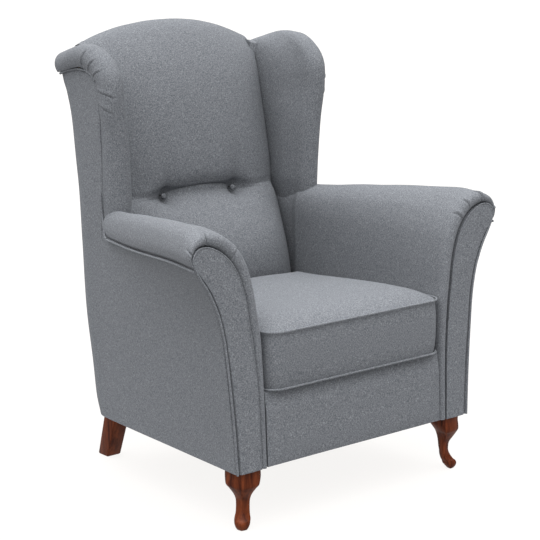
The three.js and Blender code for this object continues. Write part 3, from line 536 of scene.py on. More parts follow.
def arm_loop(keys, inset, depth):
    """One loop of the arm's padding, at a share of its width in from the cover and a depth."""
    s = float(np.clip(depth / ARM_LENGTH, 0, 1))
    outer, inner = arm_path(s, keys), pad_path(s, keys)
    normal = sideways(outer)
    cover = 1 - ease(0, 0.9, inset)
    swell = FRONT_SWELL * ease(0, 0.14, s) * (1 - ease(0.4, 0.95, s)) * cover
    tuck = WING_TUCK * ease(ARM_LENGTH - 0.02, ARM_LENGTH, depth) * cover
    puff = WING_PUFF * hump(keys - 5.8, 1.8) * ease(0.72, 0.95, s) * cover
    seam_tuck = SEAM_TUCK * ease(13.2, 14, keys) * cover
    groove = arm_groove(keys, depth) if inset < 0.97 else np.zeros(len(keys))
    path = lerp(outer, inner, inset) - normal * (groove + tuck + seam_tuck - puff)[:, None]
    path[:, 1] += swell * np.clip(normal[:, 1], 0, 1) - seam_sag(s) * ease(9.5, 13.5, keys)
    path[:, 0] += OUTER_SWELL * (1 - ease(0, 0.3, s)) * np.clip(normal[:, 0], 0, 1) * cover
    if depth > ARM_LENGTH:
        path[:, 0] = np.minimum(path[:, 0], SIDE_HALF - PANEL)
    return path, groove


def arm_loops():
    """Inset and depth of the loops: round the front edge, back along the cover, forwards inside."""
    rear = ARM_REAR_Y - FRONT_Y + ARM_TAIL
    loops = [(inset, FACING_DEPTH * depth) for inset, depth in NOSE]
    loops += [(0, depth) for run in ARM_RUNS for depth in np.linspace(*run)]
    loops += [(0, ARM_LENGTH + 0.04), (0, rear)]
    return loops + [(1, depth) for depth in (rear, ARM_LENGTH, 0.4, 0.27, 0.13, 0.03)]


def arm_pad():
    """Stuffed inner arm and roll: closed loops in depth, swept along the section."""
    keys = even_keys(ARM_FRONT, 400)
    rows = []
    for inset, depth in arm_loops():
        path, groove = arm_loop(keys, inset, depth)
        if depth < NOSE_DEPTH:
            z = np.maximum(path[:, 1], LEG_HEIGHT)
            y = face_y(z) + depth + groove
        else:
            z = np.maximum(path[:, 1], DECK_TOP)
            y = arm_depth_y(min(depth / ARM_LENGTH, 1), z) + max(depth - ARM_LENGTH, 0)
        rows.append(np.column_stack([path[:, 0], y, z]))
    rows = np.asarray(rows)
    shift = unevenness(rows, 0.11, 0.0016, 1) + unevenness(rows, 0.045, 0.0006, 2)
    rows[:, :, 2] += np.where(rows[:, :, 2] > DECK_TOP + 0.02, shift, 0)
    return sleeve("left_arm_cover", rows.transpose(1, 0, 2), FABRIC)


# Groove of the facing beside its outer cord, its fall under that cord and its crown
FACING_GROOVE = 0.008
FACING_FALL = 0.0015
FACING_CROWN = 0.0012


def facing_lines(inner_inset, outer_inset, count):
    """Inner and outer edge of the facing, from the foot up to the tip where they meet."""
    inner = spline(PAD_FRONT, even_keys(PAD_FRONT, count))
    inner = inner - sideways(inner) * inner_inset
    outer = side_path(0, even_keys(SIDE_FRONT, count))[::-1]
    outer = outer + sideways(outer) * (0.6 * PANEL + outer_inset)
    return inner, outer


def arm_facing():
    """Padded facing on the front of the arm: flush with its inner cord, grooved beside the outer one."""
    inner, outer = facing_lines(-0.0004, -0.5 * PIPING, 130)
    across = (1 - np.cos(np.linspace(0, math.pi, 61))) / 2
    front, back = [], []
    for a, b in zip(inner, outer):
        line = a + (b - a) * across[:, None]
        width = np.linalg.norm(b - a)
        from_cord = (1 - across) * width
        groove = FACING_GROOVE * hump(from_cord - 2.1 * PIPING, 0.9 * PIPING)
        fall = FACING_FALL * (1 - ease(0, PIPING, from_cord))
        y = face_y(line[:, 1]) + groove + fall - FACING_CROWN * np.sin(math.pi * across)
        front.append(np.column_stack([line[:, 0], y, line[:, 1]]))
        line = a + (b - a) * across[:, None] * (1 - 2.4 * PANEL / max(width, 4 * PANEL))
        back.append(np.column_stack([line[:, 0], face_y(line[:, 1]) + FACING_DEPTH, line[:, 1]]))
    front = np.asarray(front)
    front[:, :, 1] += unevenness(front, 0.09, 0.0014, 3)
    front[:, :, 2] = np.maximum(front[:, :, 2], LEG_HEIGHT)
    return slab("left_facing", front, back, FABRIC)


def facing_piping():
    """Cord round the facing: thin up its inner edge, over the tip and full down beside the side cover."""
    inner, outer = facing_lines(0, 0, 130)
    outer = outer - sideways(outer) * PIPING * 0.5
    loop = np.vstack([inner[:-2], outer[::-1][2:]])
    path = np.column_stack([loop[:, 0], face_y(loop[:, 1]) + 0.0004, np.maximum(loop[:, 1], LEG_HEIGHT)])
    count = 280
    radius = lerp(0.62 * PIPING, PIPING, ease(0.5, 0.62, np.linspace(0, 1, count)))
    return tube("left_facing_cord", even(path, count), radius, FABRIC)


def arm_piping():
    """Cord along the outer seam of the arm, up into the wing's seam."""
    last = [len(ARM_FRONT) - 1.05, len(ARM_FRONT) - 1]
    points = []
    for s in np.linspace(0.0, 0.93, 12):
        seam = arm_path(s, last)
        place = seam[1] + np.array((PIPING * 1.5, -PIPING * 0.5))
        points.append((place[0], arm_depth_y(s, place[1]), place[1] - seam_sag(s)))
    side = SIDE_HALF + PIPING * 0.6
    points += [(side, WING_SEAM_Y - 0.007, REAR_ARM_HEIGHT - 0.018),
               (side, WING_SEAM_Y - 0.003, REAR_ARM_HEIGHT + 0.008),
               (side, WING_SEAM_Y - 0.001, REAR_ARM_HEIGHT + 0.04)]
    return tube("left_arm_cord", even(points, 160), PIPING, FABRIC)


# Side cover

# How far the cover stands out under the wing, and the run back over which that fades
WING_FLARE = 0.005
FLARE_RUN = 0.09
# How far the cover tucks in along the arm's seam and at its upper edge under the wing
ARM_SEAM_TUCK = 0.0025
TOP_TUCK = 0.0035


def side_plan(z, start_y, x_at, inset, count):
    """Plan line of the side cover at one height, from the front round the rear corner."""
    corner_y = rear_y(z) - CORNER_RADIUS
    ys = lerp(start_y, corner_y, np.linspace(0, 1, count) ** 1.6)
    tuck = 0.6 * PIPING * (1 - ease(0, 1.2 * PIPING, ys - start_y))
    line = np.column_stack([[x_at(y) - inset for y in ys] - tuck, ys])
    centre = x_at(corner_y) - CORNER_RADIUS
    turn = np.linspace(0, math.pi / 2, 15)[1:]
    radius = CORNER_RADIUS - inset
    arc = np.column_stack([centre + radius * np.cos(turn), corner_y + radius * np.sin(turn)])
    return np.vstack([line, arc])


def arm_share(y, z):
    """Place along the arm, from 0 at its face to 1 at the wing."""
    return min((y - face_y(z)) / (WING_SEAM_Y - face_y(z)), 1)


def flare_at(y):
    return 1 - ease(0, FLARE_RUN, y - WING_SEAM_Y)


# Seam under the wing's roll: share of the way back, and height in radii from the roll's centre
SEAM_TOP_SHARES = [
    (0, -1.63), (0.11, -1.07), (0.22, -0.85), (0.4, -0.82), (0.63, -1.07), (0.78, -1.42), (0.87, -1.52),
    (1, -1.75)]
WING_SEAM_DEPTH = REAR_BOTTOM_Y + BACK_LEAN - WING_SEAM_Y


def seam_top(y):
    return WING_TOP - ROLL + ROLL * along(SEAM_TOP_SHARES, (y - WING_SEAM_Y) / WING_SEAM_DEPTH)


def side_lower(inset):
    """Cover of the side below the arm's seam, tucked in along that seam."""
    rows = []
    for key in even_keys(SIDE_FRONT, 90):
        path = lambda s: side_path(s, [key])[0]
        z0 = path(0)[1]
        x_at = lambda y: path(arm_share(y, z0))[0]
        upper = float(1 - ease(0, 2.5, key))
        tuck = ARM_SEAM_TUCK * float(1 - ease(0, 0.3, key))
        plan = side_plan(z0, face_y(z0) + 1.4 * PANEL, x_at, inset + tuck, 70)
        shares = [arm_share(y, z0) for _, y in plan]
        rows.append([(x, y, path(s)[1] - upper * seam_sag(s)) for (x, y), s in zip(plan, shares)])
    return np.asarray(rows)[::-1]


def side_upper(inset):
    """Cover under the wing's roll: it stands out a little along the roll's seam."""
    foot = REAR_ARM_HEIGHT - 3.5 * ARM_PAD
    rows = []
    for share in np.sin(np.linspace(0, 1, 90) * math.pi / 2):
        nominal = lerp(foot, WING_TOP - 2 * ROLL, share)
        flare = WING_FLARE * ease(0.25, 0.9, share) - TOP_TUCK * ease(0.975, 0.99, share)
        x_at = lambda y: SIDE_HALF + flare * flare_at(y)
        plan = side_plan(nominal, WING_SEAM_Y - PANEL, x_at, inset, 40)
        rows.append([(x, y, lerp(foot, seam_top(y), share)) for x, y in plan])
    return np.asarray(rows)


def side_cover():
    """Lower and upper part of the side's cover, which meet under the arm's roll."""
    lower, upper = side_lower(0), side_upper(0)
    lower[:, :, 1] += unevenness(lower, 0.18, 0.0006, 21)
    lower[:, :, 0] += unevenness(lower, 0.18, 0.0018, 22)
    upper[:, :, 0] += unevenness(upper, 0.18, 0.0018, 22)
    return (slab("left_side_cover", lower, side_lower(1.8 * PANEL), FABRIC),
            slab("left_side_cover_top", upper, side_upper(PANEL), FABRIC))


# Wing

WING_FRONT_Y = FRONT_Y + 0.503
WING_REAR_Y = FRONT_Y + 0.711
WING_FOOT = 0.560
WING_FOOT_HALF = 0.283
WING_CREST_HALF = 0.325
# Centre line of the roll, from the foot up the front and back along the top: share of the way back, share
# of the height, share of the width between foot and crest
WING_PATH_SHARES = [
    (0.053, 0, 0), (0.048, 0.193, 0.048), (0.043, 0.338, 0.095), (0.034, 0.58, 0.262),
    (0.02, 0.749, 0.476), (0.029, 0.862, 0.548), (0.082, 0.92, 0.595), (0.183, 0.966, 0.619),
    (0.317, 0.998, 0.667), (0.462, 0.998, 0.69), (0.66, 0.974, 0.64), (0.9, 0.942, 0.52)]
# Where the wing meets the back: height share, and how far the padding's base lies below it, in radii
WING_ROOT_SHARES = [
    (0, 0), (0.19, 0), (0.338, 0), (0.556, 0), (0.68, 0), (0.755, 0), (0.8, 0), (0.835, 0), (0.872, 0),
    (0.925, 0), (0.985, 0.6), (1.01, 0.7)]
# Angle at which the inner face runs into the roll, by section number
WING_ARC_SHARES = [(0, 165), (5, 165), (8, 150), (9, 138), (10, 105), (11, 90)]
# How far inside the roll's centre line its cover ends, in radii, by section number
WING_HOOK_SHARES = [(0, 0.4), (4, 0.45), (7, 0.82), (8.3, 0.8), (9.2, 0.68), (11, 0.55)]
# Pleats on the roll's outer side: section number, depth in millimetres and the angle that they reach
WING_PLEATS = [
    (3.85, 2.6, 70), (4.5, 3.0, 80), (6.0, 2.6, 50), (7.0, 2.8, 52), (8.0, 3.0, 62), (9.9, 1.2, 60)]
WING_POINT_SPACING = 0.045
# Depth and height of the roll's centre line in round figures, to space its sections evenly
WING_SPAN = (0.208, 0.416)
# The roll's rounded rear end: its depth, and the shares of that depth at which it has a section
WING_END_DEPTH = 0.011
WING_END_SHARES = (0.3, 0.55, 0.75, 0.9, 0.98)
# How much higher the rear of the sitter's left wing stands than that of the right one
WING_LIFT = 0.012
# Angle below level at which the roll's cover turns in, and how far it is drawn out to the seam
ROLL_END = 28
SEAM_PULL = 0.72
# Bulge of the inner face, shift of the foot towards the arm, and depth of the slot for the wing board
INNER_BULGE = 0.005
FOOT_SHIFT = 0.012
BOARD_SLOT = 0.012


def wing_sections():
    """Key, centre, direction, half width, root and arc angle of each section of the roll."""
    keys = even_keys([(y * WING_SPAN[0], z * WING_SPAN[1]) for y, z, _ in WING_PATH_SHARES], 380)
    table = spline(WING_PATH_SHARES, keys)
    centre = np.column_stack([lerp(WING_FRONT_Y, WING_REAR_Y, table[:, 0]),
                              lerp(WING_FOOT, WING_TOP - ROLL, table[:, 1])])
    run = np.gradient(centre, axis=0)
    run /= np.linalg.norm(run, axis=1)[:, None]
    half = lerp(WING_FOOT_HALF, WING_CREST_HALF, table[:, 2])
    roots = spline(WING_ROOT_SHARES, keys)
    angles = along(WING_ARC_SHARES, keys)
    return zip(keys, centre, run, half, roots, angles)


def wing_groove(key, angle):
    """Depth of the pleats at a place on the roll."""
    depth = 0.0
    for place, strength, reach in WING_PLEATS:
        across = (key - place + 0.0035 * (angle - 20)) * WING_POINT_SPACING
        fade = 1 - ease(reach - 35, reach, angle)
        depth += fade * strength / 1000 * (hump(across, 0.0019) - 0.45 * hump(across - PLEAT_RIDGE, 0.005))
    return depth


def roll_arc(key, half, start, shrink, seam_x):
    """Section of the roll from its inner face over the crown to the seam: place across, and outwards."""
    arc = []
    for angle in start - (start + ROLL_END) * np.linspace(0, 1, 46):
        turn = math.radians(angle)
        radius = (ROLL - wing_groove(key, angle)) * shrink
        x = half + radius * math.cos(turn)
        x += SEAM_PULL * max(seam_x - x, 0) * ease(45, -20, angle)
        arc.append((x, radius * math.sin(turn)))
    return arc


def wing_ring(key, centre, way, half, root, start, shrink=1.0, back=0.0, lift=0.0):
    """Closed loop of one wing section: inner face, roll, seam and the slot for the board."""
    raised = centre[1] + lift * ease(8.3, 10.2, key)
    out = lambda x, d: np.array((x, centre[0] - way[1] * d + way[0] * back,
                                 raised + way[0] * d + way[1] * back))
    root_z = lerp(WING_FOOT, WING_TOP - ROLL, root[0])
    root_y = rear_y(root_z) - POST_INSET - STRAP - CLEARANCE
    hook = -ROLL * along(WING_HOOK_SHARES, key) * shrink
    board_out = min(half + WING_BOARD / 2, SIDE_HALF - PANEL)
    board_in = board_out - WING_BOARD
    seam_x = max((half + ROLL * shrink + SIDE_HALF) / 2, SIDE_HALF + CLEARANCE)
    arc = [out(x, d) for x, d in roll_arc(key, half, start, shrink, seam_x)]
    base = np.array((BACK_HALF + CLEARANCE, root_y + back, root_z))
    share = np.linspace(0, 1, 18, endpoint=False)
    bulge = INNER_BULGE * np.sin(math.pi * share) ** 2
    inner = base + (arc[0] - base) * share[:, None] - np.outer(bulge, (1, 0, 0))
    slot = BOARD_SLOT * shrink
    closing = [out(seam_x, hook), out(board_out, hook), out(board_out, slot), out(board_in, slot),
               np.array((board_in, root_y + back, root_z - root[1] * ROLL))]
    foot = FOOT_SHIFT * (1 - ease(0, 1.2, key))
    return [point + np.array((foot * (point[0] < half), 0, 0)) for point in (*inner, *arc, *closing)]


def wing_pad(lift):
    """Wing from its foot in the arm, up the front roll and back along the top one to its round end."""
    sections = list(wing_sections())
    rings = [wing_ring(*section, lift=lift) for section in sections]
    for t in WING_END_SHARES:
        shrink = 0.35 + 0.65 * math.sqrt(1 - t * t)
        rings.append(wing_ring(*sections[-1], shrink=shrink, back=t * WING_END_DEPTH, lift=lift))
    rings = np.asarray(rings)
    rings[:, :, 0] += unevenness(rings, 0.12, 0.0014, 31)
    return sleeve("left_wing", rings, FABRIC)


def both_wings():
    """The two wings, which differ at their rear."""
    left, draft = wing_pad(WING_LIFT), wing_pad(0.0)
    right = mirror(draft, "right_wing")
    bpy.data.objects.remove(draft)
    place_on(left, ["left_wing_pad"])
    place_on(right, ["right_wing_pad"])


def wing_piping():
    """Cord along the seam between the roll and the side cover."""
    ys = lerp(WING_SEAM_Y, REAR_BOTTOM_Y + BACK_LEAN, np.linspace(0.02, 0.75, 40))
    flare = WING_FLARE * flare_at(ys)
    path = [(SIDE_HALF + f + PIPING * 0.9, y, seam_top(y) - PIPING) for y, f in zip(ys, flare)]
    return tube("left_wing_cord", path, PIPING, FABRIC)


# Back

# Profiles at the middle and the side, from the seat up and over the top: share of the depth, of the height
BACK_MIDDLE_SHARES = [
    (0.066, 0), (0.033, 0.083), (0.007, 0.163), (0, 0.21), (0.023, 0.27), (0.089, 0.331), (0.197, 0.384),
    (0.321, 0.422), (0.384, 0.447), (0.357, 0.478), (0.351, 0.525), (0.367, 0.592), (0.4, 0.672),
    (0.443, 0.752), (0.502, 0.826), (0.574, 0.889), (0.666, 0.946), (0.754, 0.983), (0.852, 1),
    (0.934, 0.991), (0.987, 0.964), (1, 0.92)]
BACK_SIDE_SHARES = [
    (0.164, 0), (0.19, 0.07), (0.223, 0.13), (0.252, 0.177), (0.292, 0.237), (0.334, 0.297),
    (0.377, 0.357), (0.423, 0.407), (0.475, 0.442), (0.482, 0.478), (0.498, 0.525), (0.531, 0.592),
    (0.574, 0.672), (0.616, 0.746), (0.648, 0.815), (0.688, 0.866), (0.739, 0.899), (0.797, 0.922),
    (0.852, 0.932), (0.915, 0.926), (0.954, 0.903), (0.974, 0.868)]
# Profile points over which the back turns from its full front face to its arched top
ARCH_ROW_SHARES = [(13, 0), (17, 1), (21, 1)]
# Profile point of the fold, the length of its fading beyond a button, its rise between the buttons and
# its fall from them to the side
CREASE_KEY = 8
CREASE_FADE = 0.08
CREASE_RISE = 0.015
CREASE_FALL = 0.02
# Depth and width of the two dimples round each button, one in the other, and of the groove above it
DIMPLES = [(0.009, 0.012), (0.006, 0.035)]
BUTTON_GROOVE = (0.005, 0.012)
# Height of a button, and its section: shares of that height and of its radius
BUTTON_HEIGHT = 0.008
BUTTON_SHARES = [
    (-0.5, 0.5), (-0.42, 0.85), (-0.15, 1.0), (0.1, 0.97), (0.3, 0.85), (0.42, 0.65), (0.5, 0.35),
    (0.52, 0.08)]


def back_point(shares):
    shares = np.asarray(shares)
    return np.column_stack([SEAT_BACK_Y + BACK_RUN * shares[:, 0],
                            lerp(SEAT_LOW.z, BACK_HEIGHT, shares[:, 1])])


def crown_share(u):
    """Fullness of the back across its width: full for most of it, none at the sides."""
    return (1 - np.minimum(np.abs(u), 1) ** 3) ** 0.7


def back_profile(u, keys):
    arch = 1 - min(abs(u), 1) ** 2.1
    share = lerp(crown_share(u), arch, ease(0, 1, along(ARCH_ROW_SHARES, keys)))
    side, middle = (spline(back_point(table), keys) for table in (BACK_SIDE_SHARES, BACK_MIDDLE_SHARES))
    return lerp(side, middle, np.asarray(share)[:, None])


def button_place():
    """Place of the buttons from front to rear, and their height."""
    return back_profile(BUTTON_SPACING / 2 / BACK_HALF, [CREASE_KEY])[0]


def crease_depth(x, z, button_z):
    """Fold between the buttons with a bulge below it; beyond the buttons it fades and fills up."""
    button_x, away = BUTTON_SPACING / 2, np.abs(x)
    rise = CREASE_RISE * np.clip(1 - (x / button_x) ** 2, 0, 1)
    above = z - (button_z + rise - CREASE_FALL * ease(button_x, BACK_HALF, away))
    valley = 0.0065 * np.exp(-np.abs(above) / 0.0035) + 0.006 * hump(above - 0.004, 0.02)
    bulge = 0.005 * hump(above + 0.03, 0.022)
    filling = 0.011 * ease(button_x, button_x + 0.07, away) * hump(above - 0.002, 0.026)
    return (1 - 0.85 * ease(button_x, button_x + CREASE_FADE, away)) * (valley - bulge) - filling


def button_pull(x, z, button_z):
    """Dimples round the buttons and the soft grooves that rise above them."""
    pull = np.zeros_like(x)
    above = z - button_z
    groove_depth, groove_width = BUTTON_GROOVE
    for side in (-1, 1):
        across = x - side * BUTTON_SPACING / 2
        away = np.hypot(across, above)
        pull += sum(depth * hump(away, width) for depth, width in DIMPLES)
        groove = hump(across, groove_width + 0.12 * np.clip(above, 0, 1))
        pull += groove_depth * groove * ease(0, 0.02, above) * (1 - ease(0.02, 0.15, above))
    return pull


def back_rear(front):
    """Rear side of the back, against the straps, for its front grid of points."""
    back = []
    for row in front:
        lip = row[-1]
        rest = rear_y(row[:, 2]) - POST_INSET - STRAP - CLEARANCE
        behind = np.maximum(rest, row[:, 1] + 0.004)
        behind = np.where(row[:, 2] > lip[2] - 0.002, np.maximum(behind, row[:, 1] + 0.002), behind)
        back.append(np.column_stack([row[:, 0], np.minimum(behind, lip[1]), np.minimum(row[:, 2], 1.0)]))
    return back


def back_stuffing():
    """Buttoned back: rows across the width, closest at the sides and near the fold."""
    keys = np.concatenate([np.linspace(0, 6.9, 60), np.linspace(6.9, 9.6, 100)[1:],
                           np.linspace(9.6, 21, 120)[1:]])
    us = np.sin(np.linspace(-1, 1, 181) * math.pi / 2 * 0.985)
    us = us / us[-1]
    button_z = button_place()[1]
    front = np.asarray([[(u * BACK_HALF, *p) for p in back_profile(u, keys)] for u in us])
    normal = surface_normals(front)
    if normal[len(us) // 2, 60, 1] > 0:
        normal = -normal
    x, z = front[:, :, 0], front[:, :, 2]
    depth = crease_depth(x, z, button_z) + button_pull(x, z, button_z)
    rough = unevenness(front, 0.16, 0.0022, 5) + unevenness(front, 0.06, 0.0008, 6)
    depth += rough * ease(SEAT_HIGH.z, SEAT_HIGH.z + 0.08, z)
    depth *= 1 - ease(0.9, 1, np.abs(x) / BACK_HALF)
    front = front - normal * depth[:, :, None]
    return slab("back_stuffing", front, back_rear(front), FABRIC)


def button(side):
    y, z = button_place()
    rings = []
    for lift, share in BUTTON_SHARES:
        radius = share * BUTTON_RADIUS
        rings.append([(side * BUTTON_SPACING / 2 + radius * math.cos(t),
                       y + BUTTON_HEIGHT - lift * BUTTON_HEIGHT, z + radius * math.sin(t))
                      for t in round_turns(32)])
    return sleeve("button_" + ("left" if side > 0 else "right"), rings, FABRIC, weld=FINE_WELD)


def shoulder_place(t):
    """Corner angle, place across and height of the cloth's crest, from the arched top out to the wing."""
    turn = math.pi / 2 * (1 - max(t, 0))
    x = SIDE_HALF - CORNER_RADIUS + CORNER_RADIUS * math.cos(turn) + min(t, 0) * CORNER_RADIUS * 2
    lip = back_profile(min(x / BACK_HALF, 1), [20.5])[0][1]
    wing_z = lerp(WING_FOOT, WING_TOP - ROLL, WING_PATH_SHARES[-1][1])
    top = lerp(lip + 0.023, wing_z + 0.75 * ROLL, ease(0.0, 0.75, t)) - 0.04 * ease(0.7, 1, t)
    return turn, x, top


def shoulder():
    """Cloth drawn over the top of the back post, between the arched top and the wing's round end."""
    low = WING_TOP - 3.05 * ROLL
    rings = []
    for t in np.linspace(-0.06, 1, 24):
        turn, x, top = shoulder_place(t)
        bend = CORNER_RADIUS * (1 - math.sin(turn))
        rear = rear_y(top) - bend - PANEL / 2
        front = rear_y(top) - 1.5 * POST_INSET - bend * 0.2
        ring = [(x, lerp(rear, front, (1 - math.cos(angle)) / 2), top - 0.008 * (1 - math.sin(angle)))
                for angle in np.linspace(0, math.pi, 15)]
        rings.append(ring + [(x, front, low), (x, rear_y(low) - bend - PANEL / 2, low)])
    return sleeve("left_shoulder", rings, FABRIC)


def outside_back():
    """Plain cover of the rear, up to the lip of the arched top."""
    half = SIDE_HALF - CORNER_RADIUS - CLEARANCE
    us = np.linspace(-1, 1, 61)
    lips = [back_profile(u * half / BACK_HALF, [21])[0][1] - 0.002 for u in us]
    rows = []
    for share in np.linspace(0, 1, 80):
        heights = [lerp(LEG_HEIGHT, lip, share) for lip in lips]
        rows.append([(u * half, rear_y(z), z) for u, z in zip(us, heights)])
    outer = np.asarray(rows)
    outer[:, :, 1] += unevenness(outer, 0.2, 0.001, 8)
    inner = outer.copy()
    inner[:, :, 1] -= PANEL
    return slab("outside_back_cover", outer, inner, FABRIC)


# Seat cushion

CUSHION_HALF = SEAT_HALF - 0.005
CORNER = 0.036
CUSHION_POINTS = 200
# Insets of the seams and of the underside, and how far the boxing swells out between the seams
SEAM_INSET = 0.0034
UNDER_INSET = 0.006
BOXING_SWELL = 0.0045
# The crown's rise above the solid's top, and the share of the way in over which it rises
CROWN_RISE = 0.006
CROWN_RUN = 0.34


def cushion_outline(inset):
    """Plan of the cushion: round corners, sides that follow the arms, rear edge that follows the back."""
    front_y = FRONT_Y + inset
    taper = lambda y: (SEAT_HALF - REAR_SEAT_HALF) * (y - FRONT_Y) / ARM_LENGTH
    half = lambda y: CUSHION_HALF - inset - taper(y)
    rear = lambda x: (SEAT_BACK_Y - 0.007 - inset
                      + BACK_RUN * BACK_SIDE_SHARES[0][0] * (1 - crown_share(x / BACK_HALF)))
    radius = CORNER - inset
    turn = np.linspace(0, math.pi / 2, 12)
    corner = [(half(front_y) - radius + radius * math.sin(t), front_y + radius - radius * math.cos(t))
              for t in turn]
    rear_side = rear(half(SEAT_BACK_Y)) - CORNER / 2
    side = [(half(y) - 0.0035 * math.sin(math.pi * t), y)
            for t in np.linspace(0.08, 1, 14) for y in [lerp(front_y + radius, rear_side, t)]]
    back = [(u * half(SEAT_BACK_Y), rear(u * half(SEAT_BACK_Y)))
            for u in (0.985, 0.95, 0.88, 0.76, 0.6, 0.4, 0.2)]
    right = [(x, front_y) for x in np.linspace(0.01, half(front_y) - radius, 8)[:-1]] + corner + side + back
    outline = [(0, front_y)] + right + [(0, rear(0))] + [(-x, y) for x, y in reversed(right)]
    closed = np.asarray(outline + outline[:1])
    run = run_along(closed)
    want = np.linspace(0, run[-1], CUSHION_POINTS, endpoint=False)
    return np.column_stack([np.interp(want, run, closed[:, k]) for k in range(2)])


def seat_slope(points):
    """How far the top of the cushion drops towards its rear, most of all beside the arms."""
    rear = ease(FRONT_Y + 0.1, SEAT_BACK_Y, points[..., 1])
    upper = np.clip((points[..., 2] - BOTTOM_SEAM) / (TOP_SEAM - BOTTOM_SEAM), 0, 1)
    return upper * rear * (0.006 + 0.024 * (points[..., 0] / CUSHION_HALF) ** 2)


def seat_cushion():
    """Box cushion: crowned top, boxing that swells between its two seams, flat underside."""
    middle = np.array((0, (FRONT_Y + SEAT_BACK_Y) / 2))

    def ring(inset, z, share=1):
        outline = cushion_outline(inset)
        if share != 1:
            outline = middle + (outline - middle) * share
        return np.column_stack([outline, np.full(CUSHION_POINTS, z)])

    rings = [ring(0.008, SEAT_LOW.z, share) for share in (0.3, 0.6, 0.9)]
    rings += [ring(UNDER_INSET, SEAT_LOW.z), ring(0.003, BOTTOM_SEAM - 0.002), ring(SEAM_INSET, BOTTOM_SEAM)]
    for share in np.linspace(0, 1, 16)[1:-1]:
        swell = BOXING_SWELL * (1 - abs(2 * share - 1) ** 3)
        rings.append(ring(SEAM_INSET - swell, BOTTOM_SEAM + share * (TOP_SEAM - BOTTOM_SEAM)))
    rings.append(ring(SEAM_INSET, TOP_SEAM))
    for share in np.concatenate([[0.997, 0.99], 1 - np.linspace(0.02, 0.92, 34) ** 1.15]):
        rise = 1 - (1 - min((1 - share) / CROWN_RUN, 1)) ** 2.3
        rings.append(ring(SEAM_INSET, TOP_SEAM + (SEAT_HIGH.z + CROWN_RISE - TOP_SEAM) * rise, share))
    rings = np.asarray(rings)
    rings[:, :, 2] += unevenness(rings, 0.13, 0.0016, 11) * (rings[:, :, 2] > TOP_SEAM + 0.004)
    rings[:, :, 2] -= seat_slope(rings)
    return sleeve("seat_cushion_cover", rings, FABRIC)


def cushion_piping(z, name):
    """Cord round the cushion at one of its seams."""
    outline = cushion_outline(-0.0016)
    path = np.column_stack([outline, np.full(len(outline), z)])
    path[:, 2] -= seat_slope(path)
    return tube(name, path, PIPING * 0.93, FABRIC, closed=True)


def apron():
    """Padded front below the cushion, set back a little from the arms and more at its upper edge."""
    half = SEAT_HALF - 0.0012
    us = np.linspace(-1, 1, 81)
    front = []
    for v in np.linspace(0, 1, 31):
        z = lerp(LEG_HEIGHT, DECK_TOP, v)
        swell = 0.004 * (1 - abs(2 * v - 1) ** 4)
        recess = 0.004 + 0.004 * ease(0.7, 0.95, v)
        front.append([(u * half, face_y(z) + recess - swell * (1 - abs(u) ** 12), z) for u in us])
    front = np.asarray(front)
    front[:, :, 1] += unevenness(front, 0.12, 0.001, 14)
    back = front.copy()
    back[:, :, 1] = face_y(back[:, :, 2]) + FACING_DEPTH
    return slab("front_apron_cover", front, back, FABRIC)


# Legs

KNEE = 0.039
LEG_X, LEG_Y = 0.322, FRONT_Y + 0.021
REAR_LEG_X = 0.245
REAR_FOOT, REAR_TOP, REAR_BEVEL = 0.039, 0.045, 0.0025
# Sections of the front leg from the top down: share of the height, then how far the section reaches
# inwards and outwards along the diagonal and half its width, in knees
CABRIOLE_SHARES = [
    (1, -1.385, 0.385, 0.987), (0.91, -1.385, 0.36, 1), (0.845, -1.34, 0.39, 0.99),
    (0.745, -1.1, 0.41, 0.93), (0.68, -0.974, 0.308, 0.75), (0.58, -0.872, 0.077, 0.52),
    (0.49, -0.82, -0.128, 0.41), (0.415, -0.795, -0.18, 0.385), (0.33, -0.744, -0.18, 0.385),
    (0.256, -0.718, -0.077, 0.4), (0.18, -0.64, 0.103, 0.45), (0.136, -0.564, 0.28, 0.45),
    (0.09, -0.51, 0.333, 0.43), (0.038, -0.36, 0.28, 0.36), (0, -0.23, 0.18, 0.27)]


def front_leg():
    """Cabriole leg that turns out along the diagonal of the corner."""
    corner = lambda value: math.copysign(abs(value) ** 1.6, value)
    rings = []
    for height, inner, outer, half in spline(CABRIOLE_SHARES, np.linspace(0, len(CABRIOLE_SHARES) - 1, 90)):
        ring = []
        for turn in round_turns(64):
            reach = lerp(inner, outer, (1 + corner(math.cos(turn))) / 2) * KNEE
            across = half * corner(math.sin(turn)) * KNEE
            ring.append((LEG_X + (reach + across) * math.sqrt(0.5),
                         LEG_Y + (across - reach) * math.sqrt(0.5), height * (LEG_HEIGHT - 0.0004)))
        rings.append(ring)
    return sleeve("left_cabriole", rings, MAHOGANY, weld=FINE_WELD, sharp=35)


def rear_leg():
    """Square leg that rakes to the rear, with bevelled edges."""
    low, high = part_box("left_rear_leg")
    rings = []
    for v in (0, 0.02, 0.98, 1):
        half = lerp(REAR_FOOT, REAR_TOP, v) / 2 - (0.0015 if v in (0, 1) else 0) - REAR_BEVEL
        y = lerp(high.y - REAR_FOOT / 2, low.y + REAR_TOP / 2, v)
        ring = []
        for sx, sy in SQUARE:
            for k in range(4):
                turn = math.atan2(sy, sx) - math.pi / 4 + k * math.pi / 6
                ring.append((REAR_LEG_X + sx * half + REAR_BEVEL * math.cos(turn),
                             y + sy * half + REAR_BEVEL * math.sin(turn), v * high.z))
        rings.append(ring)
    return sleeve("left_raked_leg", rings, MAHOGANY, weld=FINE_WELD, sharp=30)


# Everything in its place

